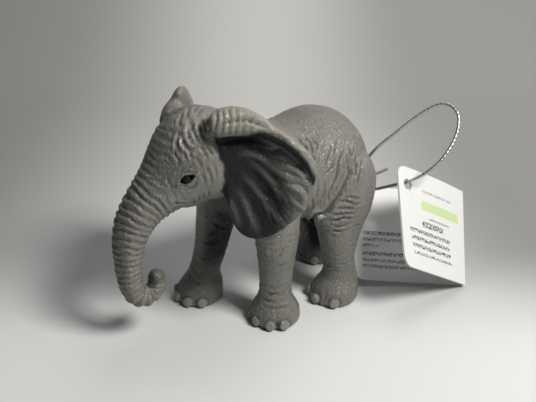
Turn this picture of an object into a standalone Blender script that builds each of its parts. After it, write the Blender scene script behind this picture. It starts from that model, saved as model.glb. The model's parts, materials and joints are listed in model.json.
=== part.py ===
"""Toy elephant calf with a folded card tag on a cord loop.

The figure is a set of soft PVC mouldings pegged and glued together: a body, a head with its
trunk, two ears, four legs and a tail, with a glossy eye on each side of the head.
+X points to the tail, -Y to the animal's left, +Z up, and the soles stand on z = 0.
"""
import math

import bmesh
import bpy
import numpy as np
from mathutils import Matrix, Vector

MM = 0.001

# Clearance between neighbours
GAP = 0.3 * MM

# Body
BODY_LENGTH = 45.0 * MM
BODY_WIDTH = 27.5 * MM
BACK_HEIGHT = 52.0 * MM
CHEST_AHEAD = 7.5 * MM
FIGURE_MIDDLE_X = 4.51 * MM
FIGURE_MIDDLE_Y = 2.47 * MM

# Head, jaw and trunk
HEAD_LENGTH = 25.2 * MM
HEAD_WIDTH = 19.6 * MM
NECK_PLUG = 11.5 * MM
NECK_HEIGHT_SHARE = 0.827
JAW_LENGTH = 13.0 * MM
JAW_WIDTH = 9.0 * MM
JAW_DEPTH = 7.2 * MM
TRUNK_DROP = 25.5 * MM
TRUNK_WIDTH = 10.2 * MM
RIB_PITCH = 1.9 * MM
RIB_DEPTH = 0.22 * MM

# Eyes
EYE_LENGTH = 2.3 * MM
EYE_HEIGHT = 1.6 * MM
EYE_THICKNESS = 1.5 * MM
EYE_TURN_DEG = -28.0

# Ears, which run back along the body and stand off its flank by a share of its width
EAR_REACH = 21.2 * MM
EAR_HEIGHT = 30.8 * MM
EAR_THICKNESS = 1.7 * MM
LEFT_EAR_OFF_SHARE = 0.253411
RIGHT_EAR_OFF_SHARE = 0.446914
LEFT_EAR_RUN_SHARE = 0.857167
RIGHT_EAR_RUN_SHARE = 0.642788
EAR_SCOOP = 2.2 * MM
EAR_FOLD_DEPTH = 0.45 * MM
EAR_FOLDS = 5
LEFT_EAR_ROLL_WIDTH = 6.4 * MM
RIGHT_EAR_ROLL_WIDTH = 4.0 * MM
RIGHT_EAR_DROP = 1.2 * MM
EAR_ROLL_PROUD_SHARE = 0.22
EAR_PEG_WIDTH = 3.6 * MM
EAR_PEG_DEPTH = 3.4 * MM

# Legs and feet
WHEELBASE = 29.5 * MM
STANCE = 20.0 * MM
FRONT_STRIDE = 11.4 * MM
HIND_STRIDE = 10.3 * MM
SHOULDER_HEIGHT_SHARE = 0.769
HIP_HEIGHT_SHARE = 0.817
FRONT_LEG_HEIGHT = BACK_HEIGHT * SHOULDER_HEIGHT_SHARE
HIND_LEG_HEIGHT = BACK_HEIGHT * HIP_HEIGHT_SHARE
FOOT_WIDTH = 13.0 * MM
SHOULDER_WIDTH = 13.2 * MM
SHOULDER_SET_BACK = 4.5 * MM
SHOULDER_STRIDE = 4.2 * MM
HAUNCH_WIDTH = 20.0 * MM
HIP_SET_FORWARD = 2.1 * MM
NAIL_WIDTH = 2.5 * MM
NAIL_HEIGHT = 2.9 * MM
NAIL_THICKNESS = 1.6 * MM

# Tail
TAIL_LENGTH = 21.5 * MM
TAIL_WIDTH = 3.0 * MM

# Card tag
TAG_WIDTH = 30.5 * MM
TAG_HEIGHT = 27.2 * MM
TAG_THICKNESS = 0.5 * MM
TAG_CORNER_RADIUS = 3.0 * MM
TAG_HOLE_WIDTH = 3.2 * MM
TAG_HOLE_INSET = 3.6 * MM
TAG_HOLE_HEIGHT = 22.2 * MM
TAG_OPENING_DEG = 43.0

# Cord and its knot
CORD_WIDTH = 0.9 * MM
CORD_STEP = 2.2 * MM
WELD_DISTANCE = 0.01 * MM
KNOT_WIDTH = 2.5 * MM
KNOT_END_LENGTH = 5.8 * MM

# Body sections from the rump to the chest: (place along the body, top and belly over the
# back's height, half width over half the body's width)
BODY_SECTION_SHARES = (
    (1.000, 0.700, 0.660, 0.12),
    (0.980, 0.800, 0.585, 0.42),
    (0.940, 0.872, 0.530, 0.68),
    (0.867, 0.935, 0.500, 0.86),
    (0.778, 0.970, 0.475, 0.96),
    (0.678, 0.983, 0.460, 1.00),
    (0.567, 0.957, 0.452, 1.02),
    (0.456, 0.936, 0.452, 1.02),
    (0.344, 0.970, 0.460, 0.98),
    (0.233, 0.984, 0.480, 0.90),
    (0.122, 0.965, 0.520, 0.76),
    (0.044, 0.940, 0.580, 0.56),
    (0.000, 0.860, 0.700, 0.25),
)

# Skull from the neck plug to the trunk's root: (forward and rise over the head's length,
# brow side, jaw side and half width over the head's width)
SKULL_SHARES = (
    (0.000, 0.000, 0.150, 0.150, 0.150),
    (0.024, 0.000, 0.310, 0.310, 0.310),
    (0.100, 0.020, 0.390, 0.400, 0.380),
    (0.240, 0.060, 0.460, 0.470, 0.455),
    (0.380, 0.075, 0.569, 0.521, 0.540),
    (0.530, 0.060, 0.629, 0.521, 0.565),
    (0.670, 0.010, 0.560, 0.497, 0.500),
    (0.785, -0.060, 0.450, 0.440, 0.430),
    (0.890, -0.133, 0.360, 0.344, 0.360),
    (1.000, -0.215, 0.305, 0.290, 0.303),
)

# Trunk from its root to its curled tip: (forward and drop over the trunk's drop, front side,
# mouth side and half width over its width at the root)
TRUNK_SHARES = (
    (0.114, 0.098, 0.500, 0.480, 0.500),
    (0.204, 0.220, 0.440, 0.430, 0.450),
    (0.263, 0.357, 0.380, 0.380, 0.400),
    (0.287, 0.514, 0.330, 0.330, 0.353),
    (0.296, 0.678, 0.294, 0.294, 0.310),
    (0.287, 0.827, 0.270, 0.265, 0.280),
    (0.247, 0.945, 0.250, 0.235, 0.260),
    (0.157, 1.000, 0.240, 0.216, 0.245),
    (0.070, 0.969, 0.225, 0.206, 0.230),
    (0.031, 0.886, 0.206, 0.196, 0.216),
    (0.031, 0.808, 0.186, 0.186, 0.196),
    (0.035, 0.765, 0.137, 0.137, 0.147),
    (0.039, 0.745, 0.070, 0.070, 0.070),
)
JAW_PLACE_SHARES = (0.650, -0.25)
EYE_PLACE_SHARES = (0.815, 0.025)

# Ear outline, round from the top of its root to the bottom: (reach, height) over the ear's size
EAR_OUTLINE_SHARES = (
    (-0.027, 0.975),
    (0.138, 1.000),
    (0.352, 0.940),
    (0.589, 0.826),
    (0.815, 0.707),
    (0.963, 0.603),
    (1.000, 0.476),
    (0.958, 0.375),
    (0.903, 0.240),
    (0.750, 0.110),
    (0.580, 0.022),
    (0.402, -0.006),
    (0.230, 0.035),
    (0.150, 0.100),
    (0.095, 0.230),
)
EAR_ROOT_SHARES = ((-0.010, 0.900), (0.060, 0.450))
EAR_FLAT_SHARE = 0.35
EAR_DROP_SHARE = 0.555
EAR_PLACE_SHARES = (0.53, 0.09)
EAR_PEG_SHARES = (0.110, 0.640)

# The rolled upper rim: (reach, height, radius over the roll's width)
EAR_ROLL_SHARES = (
    (-0.050, 0.868, 0.38),
    (0.080, 0.898, 0.48),
    (0.240, 0.900, 0.44),
    (0.390, 0.865, 0.33),
    (0.530, 0.804, 0.23),
    (0.680, 0.735, 0.17),
    (0.830, 0.650, 0.15),
    (0.930, 0.540, 0.14),
    (0.940, 0.440, 0.13),
)

# Legs from the sole to the plug inside the body: (height over the leg's height, lean of the left
# and of the right leg from its foot to its joint, depth and width over the width named after the
# table, place outboard over half the stance)
FRONT_SHIN_SHARES = (
    (0.000, 0.00, 0.00, 0.450, 0.440, 1.00),
    (0.020, 0.00, 0.02, 0.500, 0.490, 1.00),
    (0.090, 0.00, 0.10, 0.485, 0.475, 1.00),
    (0.150, 0.00, 0.18, 0.385, 0.380, 1.00),
    (0.205, 0.05, 0.26, 0.322, 0.320, 1.00),
    (0.350, 0.30, 0.52, 0.332, 0.332, 1.00),
    (0.525, 0.70, 0.70, 0.395, 0.390, 0.98),
)
SHOULDER_SHARES = (
    (0.625, 1.00, 0.80, 0.443, 0.379, 0.93),
    (0.750, 0.95, 0.88, 0.500, 0.371, 0.86),
    (0.900, 0.90, 0.95, 0.457, 0.329, 0.80),
    (1.000, 0.90, 1.00, 0.286, 0.214, 0.76),
)
HIND_SHIN_SHARES = (
    (0.000, 0.00, 0.00, 0.450, 0.440, 1.03),
    (0.020, 0.05, 0.02, 0.500, 0.490, 1.03),
    (0.085, 0.30, 0.07, 0.485, 0.475, 1.03),
    (0.140, 0.55, 0.12, 0.400, 0.390, 1.03),
    (0.190, 0.69, 0.16, 0.340, 0.335, 1.02),
    (0.295, 0.50, 0.32, 0.335, 0.330, 1.01),
    (0.425, 0.55, 0.50, 0.430, 0.385, 0.98),
)
HAUNCH_SHARES = (
    (0.520, 0.80, 0.68, 0.360, 0.275, 0.94),
    (0.590, 1.00, 0.78, 0.430, 0.295, 0.92),
    (0.685, 1.00, 0.94, 0.490, 0.305, 0.89),
    (0.780, 1.00, 1.00, 0.500, 0.300, 0.88),
    (0.875, 1.05, 1.00, 0.420, 0.270, 0.86),
    (0.950, 1.05, 1.00, 0.300, 0.200, 0.84),
    (1.000, 1.05, 1.00, 0.150, 0.100, 0.82),
)
FRONT_NAILS_DEG = (-70.0, -33.0, 6.0, 45.0, 78.0)
HIND_NAILS_DEG = (-45.0, 3.0, 55.0)
NAIL_RISE_SHARE = 0.55

# Tail from inside the rump to the tuft: (back from the rump, drop over the tail's length,
# radius over the tail's width)
TAIL_SHARES = (
    (-0.110, -0.040, 0.55),
    (-0.010, -0.030, 0.53),
    (0.060, 0.050, 0.49),
    (0.085, 0.190, 0.46),
    (0.075, 0.400, 0.43),
    (0.055, 0.600, 0.40),
    (0.040, 0.760, 0.39),
    (0.030, 0.880, 0.56),
    (0.025, 0.960, 0.46),
    (0.020, 1.000, 0.14),
)
TAIL_ROOT_HEIGHT_SHARE = 0.745

# The tag hangs by its hole, at this place on the cord's route, with these directions
TAG_HOLE_PLACE = Vector((43.70, -16.00, 30.60)) * MM
TAG_ALONG_SHARES = Vector((-0.867, -0.023, 0.498))
TAG_UP_SHARES = Vector((0.414, 0.524, 0.745))

# The cord's route, chosen by hand: out of the knot and round the tail, up over the loop's top,
# down through the tag's hole and back into the knot
CORD_ROUTE_MM = (
    (38.95, -3.35, 27.75),
    (38.45, -3.00, 26.95),
    (37.60, -2.30, 26.70),
    (36.75, -1.10, 26.80),
    (36.65, 0.40, 27.10),
    (37.30, 1.75, 27.50),
    (38.90, 2.20, 28.20),
    (40.70, 1.60, 29.60),
    (41.60, 0.20, 31.60),
    (41.75, -1.60, 33.70),
    (41.70, -3.40, 35.80),
    (42.80, -5.00, 38.30),
    (46.00, -6.60, 41.10),
    (50.30, -8.20, 44.60),
    (54.20, -10.20, 47.60),
    (56.90, -12.70, 49.30),
    (57.90, -15.60, 48.90),
    (57.50, -18.20, 46.60),
    (54.70, -20.00, 42.20),
    (50.30, -20.40, 37.70),
    (46.30, -18.90, 34.10),
    (44.40, -16.24, 31.70),
    (43.35, -13.90, 30.25),
    (42.95, -11.00, 28.75),
    (42.50, -8.00, 27.10),
    (41.60, -6.00, 26.10),
    (40.70, -4.75, 25.75),
    (40.10, -4.15, 26.20),
    (39.90, -4.05, 27.70),
)
KNOT_PLACE = Vector((39.35, -3.75, 28.30)) * MM
KNOT_END_SHARES = Vector((0.82, -0.36, 0.44))

# Facets: sides round each shape, and steps along it
BODY_SIDES = 22
HEAD_SIDES = 18
HEAD_STEPS = 4
RINGS_PER_RIB = 3
RIBS_TO_FULL_DEPTH = 3
JAW_SIDES = (16, 10)
EYE_SIDES = (12, 8)
NAIL_SIDES = (8, 6)
LEG_SIDES = 14
ROLL_SIDES = 10
PEG_SIDES = 12
EAR_STEPS = 5
TAIL_SIDES = 8
TAG_CORNER_STEPS = 6
TAG_HOLE_SIDES = 16
KNOT_SIDES = (12, 8)
KNOT_END_SIDES = 8
CORD_BEND_STEPS = 8
SHARP_EDGE_DEG = 50.0


def linear(hex_colour):
    """An sRGB hex colour as linear RGBA."""
    values = [int(hex_colour[i:i + 2], 16) / 255 for i in (1, 3, 5)]
    return [v / 12.92 if v <= 0.04045 else ((v + 0.055) / 1.055) ** 2.4 for v in values] + [1.0]


def material(name, hex_colour, roughness, metallic=0.0):
    """A plain Principled material in the part's colour."""
    made = bpy.data.materials.new(name)
    made.use_nodes = True
    shader = made.node_tree.nodes["Principled BSDF"]
    shader.inputs["Base Color"].default_value = linear(hex_colour)
    shader.inputs["Roughness"].default_value = roughness
    shader.inputs["Metallic"].default_value = metallic
    made.diffuse_color = linear(hex_colour)
    return made


def collection(name):
    """A new collection in the scene."""
    made = bpy.data.collections.new(name)
    bpy.context.scene.collection.children.link(made)
    return made


def smooth_rows(rows, steps):
    """The rows of a table with a smooth curve's rows between them, steps to each interval."""
    rows = np.array(rows, dtype=float)
    padded = np.vstack([2 * rows[0] - rows[1], rows, 2 * rows[-1] - rows[-2]])
    curve = []
    for before, start, end, after in zip(padded, padded[1:], padded[2:], padded[3:]):
        for step in range(steps):
            t = step / steps
            linear_part = (end - before) * t
            square_part = (2 * before - 5 * start + 4 * end - after) * t ** 2
            cubic_part = (after - before + 3 * start - 3 * end) * t ** 3
            curve.append(0.5 * (2 * start + linear_part + square_part + cubic_part))
    curve.append(rows[-1])
    return np.array(curve)


def arc_lengths(points):
    """The distance along a line of points, at each point."""
    steps = np.linalg.norm(np.diff(points, axis=0), axis=1)
    return np.concatenate([[0.0], np.cumsum(steps)])


def even_rows(rows, spacing, place_columns):
    """Rows at an even spacing along the curve that the place columns draw."""
    lengths = arc_lengths(rows[:, :place_columns])
    count = max(2, round(lengths[-1] / spacing) + 1)
    wanted = np.linspace(0.0, lengths[-1], count)
    columns = [np.interp(wanted, lengths, rows[:, column]) for column in range(rows.shape[1])]
    return np.stack(columns, axis=1)


def ring(centre, outward, sideways, outer, inner, half_width, sides):
    """One section: an oval that reaches outer on one side of its centre and inner on the other."""
    points = []
    for side in range(sides):
        angle = 2 * math.pi * side / sides
        across = math.cos(angle)
        reach = outer if across > 0 else inner
        offset = Vector(outward) * (across * reach) + Vector(sideways) * (math.sin(angle) * half_width)
        points.append(Vector(centre) + offset)
    return points


def plane_rings(rows, sideways, sides):
    """Sections square to a curve that lies in a plane; rows hold place, outer, inner, half width."""
    places = rows[:, :3]
    tangents = np.gradient(places, axis=0)
    rings = []
    for row, tangent in zip(rows, tangents):
        outward = Vector(sideways).cross(Vector(tangent)).normalized()
        rings.append(ring(row[:3], outward, sideways, row[3], row[4], row[5], sides))
    return rings


def loft(name, rings):
    """A closed skin through the rings, flat at both ends."""
    shape = bmesh.new()
    grid = [[shape.verts.new(point) for point in points] for points in rings]
    for first, second in zip(grid, grid[1:]):
        for side in range(len(first)):
            after = (side + 1) % len(first)
            shape.faces.new((first[side], first[after], second[after], second[side]))
    shape.faces.new(grid[0])
    shape.faces.new(grid[-1])
    return finish_mesh(name, shape)


def finish_mesh(name, shape):
    """A smooth-shaded object from a closed bmesh."""
    bmesh.ops.recalc_face_normals(shape, faces=shape.faces)
    mesh = bpy.data.meshes.new(name)
    shape.to_mesh(mesh)
    shape.free()
    mesh.shade_smooth()
    mesh.set_sharp_from_angle(angle=math.radians(SHARP_EDGE_DEG))
    return bpy.data.objects.new(name, mesh)


def ellipsoid(name, place, lengths, turn, sides):
    """A ball stretched to three lengths, turned and placed; sides counts round it and over it."""
    shape = bmesh.new()
    bmesh.ops.create_uvsphere(shape, u_segments=sides[0], v_segments=sides[1], radius=0.5)
    stretch = Matrix.Diagonal((*lengths, 1.0))
    bmesh.ops.transform(shape, matrix=Matrix.Translation(place) @ turn @ stretch, verts=shape.verts)
    return finish_mesh(name, shape)


def rod(name, start, end, width, sides):
    """A round rod between two points."""
    axis = Vector(end) - Vector(start)
    shape = bmesh.new()
    bmesh.ops.create_cone(
        shape, cap_ends=True, segments=sides, radius1=width / 2, radius2=width / 2, depth=axis.length
    )
    turn = axis.to_track_quat("Z", "Y").to_matrix().to_4x4()
    middle = (Vector(start) + Vector(end)) / 2
    bmesh.ops.transform(shape, matrix=Matrix.Translation(middle) @ turn, verts=shape.verts)
    return finish_mesh(name, shape)


def as_part(made, finish):
    """Puts an object among the figure's parts."""
    figure.objects.link(made)
    made.parent = figure_origin
    made.data.materials.append(finish)
    return made


def as_cutter(made):
    """Puts an object among the hidden cutters and joined shapes."""
    cutters.objects.link(made)
    made.parent = figure_origin
    made.hide_render = True
    made.display_type = "WIRE"
    return made


def grown(source, name):
    """A cutter shaped like source, larger all round by the gap."""
    made = as_cutter(bpy.data.objects.new(name, source.data.copy()))
    made.matrix_basis = source.matrix_basis
    swell = made.modifiers.new("clearance", "DISPLACE")
    swell.direction = "NORMAL"
    swell.mid_level = 0.0
    swell.strength = GAP
    return made


def combine(target, other, operation):
    """A Boolean modifier on target."""
    step = target.modifiers.new(f"{operation.lower()} {other.name}", "BOOLEAN")
    step.operation = operation
    step.solver = "EXACT"
    step.object = other


def body_place(share):
    """The x of a place along the body, from the chest to the rump."""
    return share * BODY_LENGTH - CHEST_AHEAD


def make_body():
    """The barrel of the body, drawn as upright sections."""
    rings = []
    for share, top, belly, width in smooth_rows(BODY_SECTION_SHARES, 2):
        half_height = BACK_HEIGHT * (top - belly) / 2
        centre = (body_place(share), 0.0, BACK_HEIGHT * belly + half_height)
        half_width = BODY_WIDTH / 2 * width
        rings.append(ring(centre, (0, 0, 1), (0, 1, 0), half_height, half_height, half_width, BODY_SIDES))
    return as_part(loft("torso", rings), hide)


def neck_end():
    """The middle of the head's plug, inside the body."""
    return Vector((NECK_PLUG - CHEST_AHEAD, 0.0, BACK_HEIGHT * NECK_HEIGHT_SHARE))


def head_place(forward_share, rise_share):
    """A place in the head's middle plane, in shares of the head's length."""
    return neck_end() + Vector((-forward_share, 0.0, rise_share)) * HEAD_LENGTH


def make_head():
    """Skull and trunk as one skin, with a groove all round the trunk at each rib pitch."""
    skull = []
    for forward, rise, brow, jaw, width in SKULL_SHARES:
        sizes = [share * HEAD_WIDTH for share in (brow, jaw, width)]
        skull.append([*head_place(forward, rise), *sizes])
    trunk = []
    root = head_place(*SKULL_SHARES[-1][:2])
    for forward, drop, front, back, width in TRUNK_SHARES:
        sizes = [share * TRUNK_WIDTH for share in (front, back, width)]
        trunk.append([*(root + Vector((-forward, 0.0, -drop)) * TRUNK_DROP), *sizes])
    rows = smooth_rows(skull + trunk, HEAD_STEPS)
    split = (len(skull) - 2) * HEAD_STEPS
    skull_rows = rows[:split:2]
    trunk_rows = even_rows(rows[split:], RIB_PITCH / RINGS_PER_RIB, 3)
    ribs = np.arange(len(trunk_rows)) / RINGS_PER_RIB
    wave = -np.cos(2 * math.pi * ribs) * RIB_DEPTH * np.clip(ribs / RIBS_TO_FULL_DEPTH, 0.0, 1.0)
    wave[-RINGS_PER_RIB:] = 0.0
    trunk_rows[:, 3:] += wave[:, None]
    rows = np.vstack([skull_rows, trunk_rows])
    return loft("head", plane_rings(rows, Vector((0, 1, 0)), HEAD_SIDES))


def make_jaw():
    """The lower jaw, joined under the skull."""
    lengths = (JAW_LENGTH, JAW_WIDTH, JAW_DEPTH)
    return as_cutter(ellipsoid("jaw", head_place(*JAW_PLACE_SHARES), lengths, Matrix(), JAW_SIDES))


def leg_rows(side, tables, height, foot_x, joint_x):
    """Places and radii up one leg; side is -1 on the left and 1 on the right."""
    rows = []
    for table, width in tables:
        for rise, left_lean, right_lean, depth_share, width_share, outboard in table:
            lean = left_lean if side < 0 else right_lean
            x = foot_x + (joint_x - foot_x) * lean
            y = side * STANCE / 2 * outboard
            rows.append((x, y, height * rise, width * depth_share, width * width_share))
    return rows


def make_leg(name, side, tables, height, foot_x, joint_x, nail_angles):
    """One leg with its foot, as level sections, and a row of toenails round its front."""
    rows = leg_rows(side, tables, height, foot_x, joint_x)
    rings = []
    for x, y, z, depth, width in smooth_rows(rows, 2):
        rings.append(ring((x, y, z), (-1, 0, 0), (0, 1, 0), depth, depth, width, LEG_SIDES))
    leg = as_part(loft(name, rings), hide)
    x, y, _, depth, width = rows[1]
    for number, degrees in enumerate(nail_angles):
        angle = math.radians(degrees)
        forward = Vector((-math.cos(angle), side * math.sin(angle), 0.0))
        place = Vector((x, y, NAIL_HEIGHT * NAIL_RISE_SHARE))
        place += Vector((forward.x * depth, forward.y * width, 0.0))
        turn = Matrix.Rotation(math.atan2(forward.y, forward.x), 4, "Z")
        lengths = (NAIL_THICKNESS, NAIL_WIDTH, NAIL_HEIGHT)
        nail = as_cutter(ellipsoid(f"{name}_nail_{number}", place, lengths, turn, NAIL_SIDES))
        combine(leg, nail, "UNION")
    return leg


def ear_frame(side):
    """An ear's corner on the head, its reach direction and the direction that it faces."""
    off_share = LEFT_EAR_OFF_SHARE if side < 0 else RIGHT_EAR_OFF_SHARE
    run_share = LEFT_EAR_RUN_SHARE if side < 0 else RIGHT_EAR_RUN_SHARE
    stand_off = BODY_WIDTH * (0.5 + off_share) - HEAD_WIDTH / 2
    splay = math.atan2(stand_off, EAR_REACH * run_share)
    axis = head_place(*EAR_PLACE_SHARES)
    drop = EAR_DROP_SHARE * EAR_HEIGHT + (RIGHT_EAR_DROP if side > 0 else 0.0)
    corner = axis + Vector((0.0, side * HEAD_WIDTH / 2, -drop))
    reach = Vector((math.cos(splay), side * math.sin(splay), 0.0))
    facing = Vector((-math.sin(splay), side * math.cos(splay), 0.0))
    return corner, reach, facing


def ear_point(side, reach_share, height_share, proud=0.0):
    """A point on an ear's plane, or proud of it on the side that it faces."""
    corner, reach, facing = ear_frame(side)
    across = reach * (reach_share * EAR_REACH)
    up = Vector((0.0, 0.0, height_share * EAR_HEIGHT))
    return corner + across + up + facing * proud


def make_ear_sheet(name, side):
    """The ear's flap: a fan of strips from the root to the outline, cupped and lightly folded."""
    outline = smooth_rows(EAR_OUTLINE_SHARES, 2)
    root_top, root_bottom = np.array(EAR_ROOT_SHARES)
    shape = bmesh.new()
    columns = []
    for number, rim in enumerate(outline):
        turn = number / (len(outline) - 1)
        root = root_top + (root_bottom - root_top) * turn
        strip = min(1.0, float(np.linalg.norm(rim - root)), (1.0 - turn) / EAR_FLAT_SHARE)
        column = []
        for step in range(EAR_STEPS + 1):
            out = step / EAR_STEPS
            reach_share, height_share = root + (rim - root) * out
            cup = -EAR_SCOOP * math.sin(math.pi * out) ** 2
            fold = EAR_FOLD_DEPTH * math.sin(2 * math.pi * EAR_FOLDS * turn) * out
            proud = (cup + fold) * strip
            column.append(shape.verts.new(ear_point(side, reach_share, height_share, proud)))
        columns.append(column)
    for first, second in zip(columns, columns[1:]):
        for step in range(EAR_STEPS):
            corners = (first[step], first[step + 1], second[step + 1], second[step])
            shape.faces.new(corners)
    ear = as_part(finish_mesh(name, shape), hide)
    wall = ear.modifiers.new("thickness", "SOLIDIFY")
    wall.thickness = EAR_THICKNESS
    wall.offset = 0.0
    return ear


def make_ear_roll(name, side):
    """The rolled upper rim, thick at the root and thin where it ends."""
    width = LEFT_EAR_ROLL_WIDTH if side < 0 else RIGHT_EAR_ROLL_WIDTH
    rows = []
    for reach_share, height_share, radius_share in EAR_ROLL_SHARES:
        radius = radius_share * width
        place = ear_point(side, reach_share, height_share, radius_share * width * EAR_ROLL_PROUD_SHARE)
        rows.append([*place, radius, radius, radius])
    _, _, facing = ear_frame(side)
    rings = plane_rings(smooth_rows(rows, 2), facing, ROLL_SIDES)
    return as_cutter(loft(name, rings))


def make_ear_peg(name, side):
    """The peg that holds an ear in the side of the head."""
    start = ear_point(side, *EAR_PEG_SHARES)
    end = start - Vector((0.0, side * (EAR_PEG_DEPTH + EAR_THICKNESS), 0.0))
    return as_cutter(rod(name, start, end, EAR_PEG_WIDTH, PEG_SIDES))


def make_ears(head, head_clearance):
    """Both ears, seated on the head, with a peg each in a socket of the head."""
    for side, word in ((-1, "left"), (1, "right")):
        ear = make_ear_sheet(f"{word}_ear", side)
        combine(ear, make_ear_roll(f"{word}_ear_roll", side), "UNION")
        combine(ear, head_clearance, "DIFFERENCE")
        peg = make_ear_peg(f"{word}_ear_peg", side)
        combine(ear, peg, "UNION")
        combine(head, grown(peg, f"{word}_ear_socket"), "DIFFERENCE")


def make_eyes(head):
    """A glossy lens set into each side of the head, in a seat of its own shape."""
    middle = head_place(*EYE_PLACE_SHARES)
    for side, word in ((-1, "left"), (1, "right")):
        beside = middle + Vector((0.0, side * HEAD_WIDTH, 0.0))
        found, hit, normal, _ = head.ray_cast(beside, (0.0, -side, 0.0))
        if not found:
            raise ValueError("the eye's place misses the head")
        facing = normal.to_track_quat("Y", "Z").to_matrix().to_4x4()
        tilt = Matrix.Rotation(-side * math.radians(EYE_TURN_DEG), 4, "Y")
        lengths = (EYE_LENGTH, EYE_THICKNESS, EYE_HEIGHT)
        eye = as_part(ellipsoid(f"{word}_eye", hit, lengths, facing @ tilt, EYE_SIDES), eye_gloss)
        combine(head, grown(eye, f"{word}_eye_seat"), "DIFFERENCE")


def make_tail():
    """The tail, hanging close behind the rump, with its tuft."""
    root = Vector((body_place(1.0), 0.0, BACK_HEIGHT * TAIL_ROOT_HEIGHT_SHARE))
    rows = []
    for back, drop, radius_share in TAIL_SHARES:
        radius = radius_share * TAIL_WIDTH
        place = root + Vector((back, 0.0, -drop)) * TAIL_LENGTH
        rows.append([*place, radius, radius, radius])
    rings = plane_rings(smooth_rows(rows, 2), Vector((0, 1, 0)), TAIL_SIDES)
    return as_part(loft("tail", rings), hide)


def rounded_leaf_points():
    """The leaf's outline, square at the crease and rounded at its two free corners."""
    near = GAP / 2
    points = [(near, 0.0), (near, TAG_HEIGHT)]
    for centre_z, start in ((TAG_HEIGHT - TAG_CORNER_RADIUS, 90), (TAG_CORNER_RADIUS, 0)):
        for step in range(TAG_CORNER_STEPS + 1):
            angle = math.radians(start - 90 * step / TAG_CORNER_STEPS)
            x = TAG_WIDTH - TAG_CORNER_RADIUS + TAG_CORNER_RADIUS * math.cos(angle)
            points.append((x, centre_z + TAG_CORNER_RADIUS * math.sin(angle)))
    return points


def circle_points(centre, radius, count):
    """Points round a circle."""
    angles = [2 * math.pi * step / count for step in range(count)]
    return [(centre[0] + radius * math.cos(a), centre[1] + radius * math.sin(a)) for a in angles]


def make_leaf(name, outlines, along, up, outward, crease):
    """One card leaf: a flat outline, its inner face half a gap outside the crease's axis."""
    curve = bpy.data.curves.new(name, "CURVE")
    curve.dimensions = "2D"
    curve.fill_mode = "BOTH"
    curve.extrude = TAG_THICKNESS / 2
    for outline in outlines:
        spline = curve.splines.new("POLY")
        spline.points.add(len(outline) - 1)
        for point, place in zip(spline.points, outline):
            point.co = (*place, 0.0, 1.0)
        spline.use_cyclic_u = True
    leaf = as_part(bpy.data.objects.new(name, curve), card)
    turn = Matrix((along, up, along.cross(up))).transposed().to_4x4()
    offset = outward * ((TAG_THICKNESS + GAP) / 2)
    leaf.matrix_basis = Matrix.Translation(crease + offset) @ turn
    return leaf


def make_tag():
    """Two leaves joined along a crease; the front one hangs by its hole."""
    up = TAG_UP_SHARES.normalized()
    along = (TAG_ALONG_SHARES - up * TAG_ALONG_SHARES.dot(up)).normalized()
    front_outward = along.cross(up) * -1.0
    hole = (TAG_WIDTH - TAG_HOLE_INSET, TAG_HOLE_HEIGHT)
    crease = TAG_HOLE_PLACE - along * hole[0] - up * hole[1]
    crease -= front_outward * ((TAG_THICKNESS + GAP) / 2)
    outline = rounded_leaf_points()
    holes = circle_points(hole, TAG_HOLE_WIDTH / 2, TAG_HOLE_SIDES)
    make_leaf("tag_front_leaf", [outline, holes], along, up, front_outward, crease)
    opening = Matrix.Rotation(math.radians(-TAG_OPENING_DEG), 3, up)
    back_along = opening @ along
    make_leaf("tag_back_leaf", [outline], back_along, up, back_along.cross(up), crease)
    for name, place in (("tag_swing_axis", TAG_HOLE_PLACE), ("tag_fold_axis", crease)):
        marker = bpy.data.objects.new(name, None)
        marker.location = place
        marker.parent = figure_origin
        figure.objects.link(marker)


def make_cord():
    """The cord, a tube along a smooth curve through the points of its route."""
    route = smooth_rows(np.array(CORD_ROUTE_MM) * MM, CORD_BEND_STEPS)
    points = even_rows(route, CORD_STEP, 3)
    curve = bpy.data.curves.new("tag_cord", "CURVE")
    curve.dimensions = "3D"
    curve.bevel_depth = CORD_WIDTH / 2
    curve.bevel_resolution = 2
    curve.use_fill_caps = True
    spline = curve.splines.new("POLY")
    spline.points.add(len(points) - 1)
    for point, place in zip(spline.points, points):
        point.co = (*place, 1.0)
    cord = as_part(welded("tag_cord", curve), silver)
    for step in make_knot():
        combine(cord, step, "UNION")


def welded(name, curve):
    """A curve's tube as one closed mesh, with its caps welded on."""
    tube = as_cutter(bpy.data.objects.new(f"{name}_path", curve))
    bpy.context.view_layer.update()
    seen = tube.evaluated_get(bpy.context.evaluated_depsgraph_get())
    shape = bmesh.new()
    shape.from_mesh(bpy.data.meshes.new_from_object(seen))
    bpy.data.objects.remove(tube)
    bmesh.ops.remove_doubles(shape, verts=shape.verts, dist=WELD_DISTANCE)
    return finish_mesh(name, shape)


def make_knot():
    """The knot that closes the cord's loop, and the short end that stands out of it."""
    lengths = (KNOT_WIDTH, KNOT_WIDTH, KNOT_WIDTH)
    direction = KNOT_END_SHARES.normalized()
    turn = direction.to_track_quat("Z", "Y").to_matrix().to_4x4()
    knot = as_cutter(ellipsoid("cord_knot", KNOT_PLACE, lengths, turn, KNOT_SIDES))
    end = KNOT_PLACE + direction * (KNOT_WIDTH / 2 + KNOT_END_LENGTH)
    short_end = as_cutter(rod("cord_short_end", KNOT_PLACE, end, CORD_WIDTH, KNOT_END_SIDES))
    return knot, short_end


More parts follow.
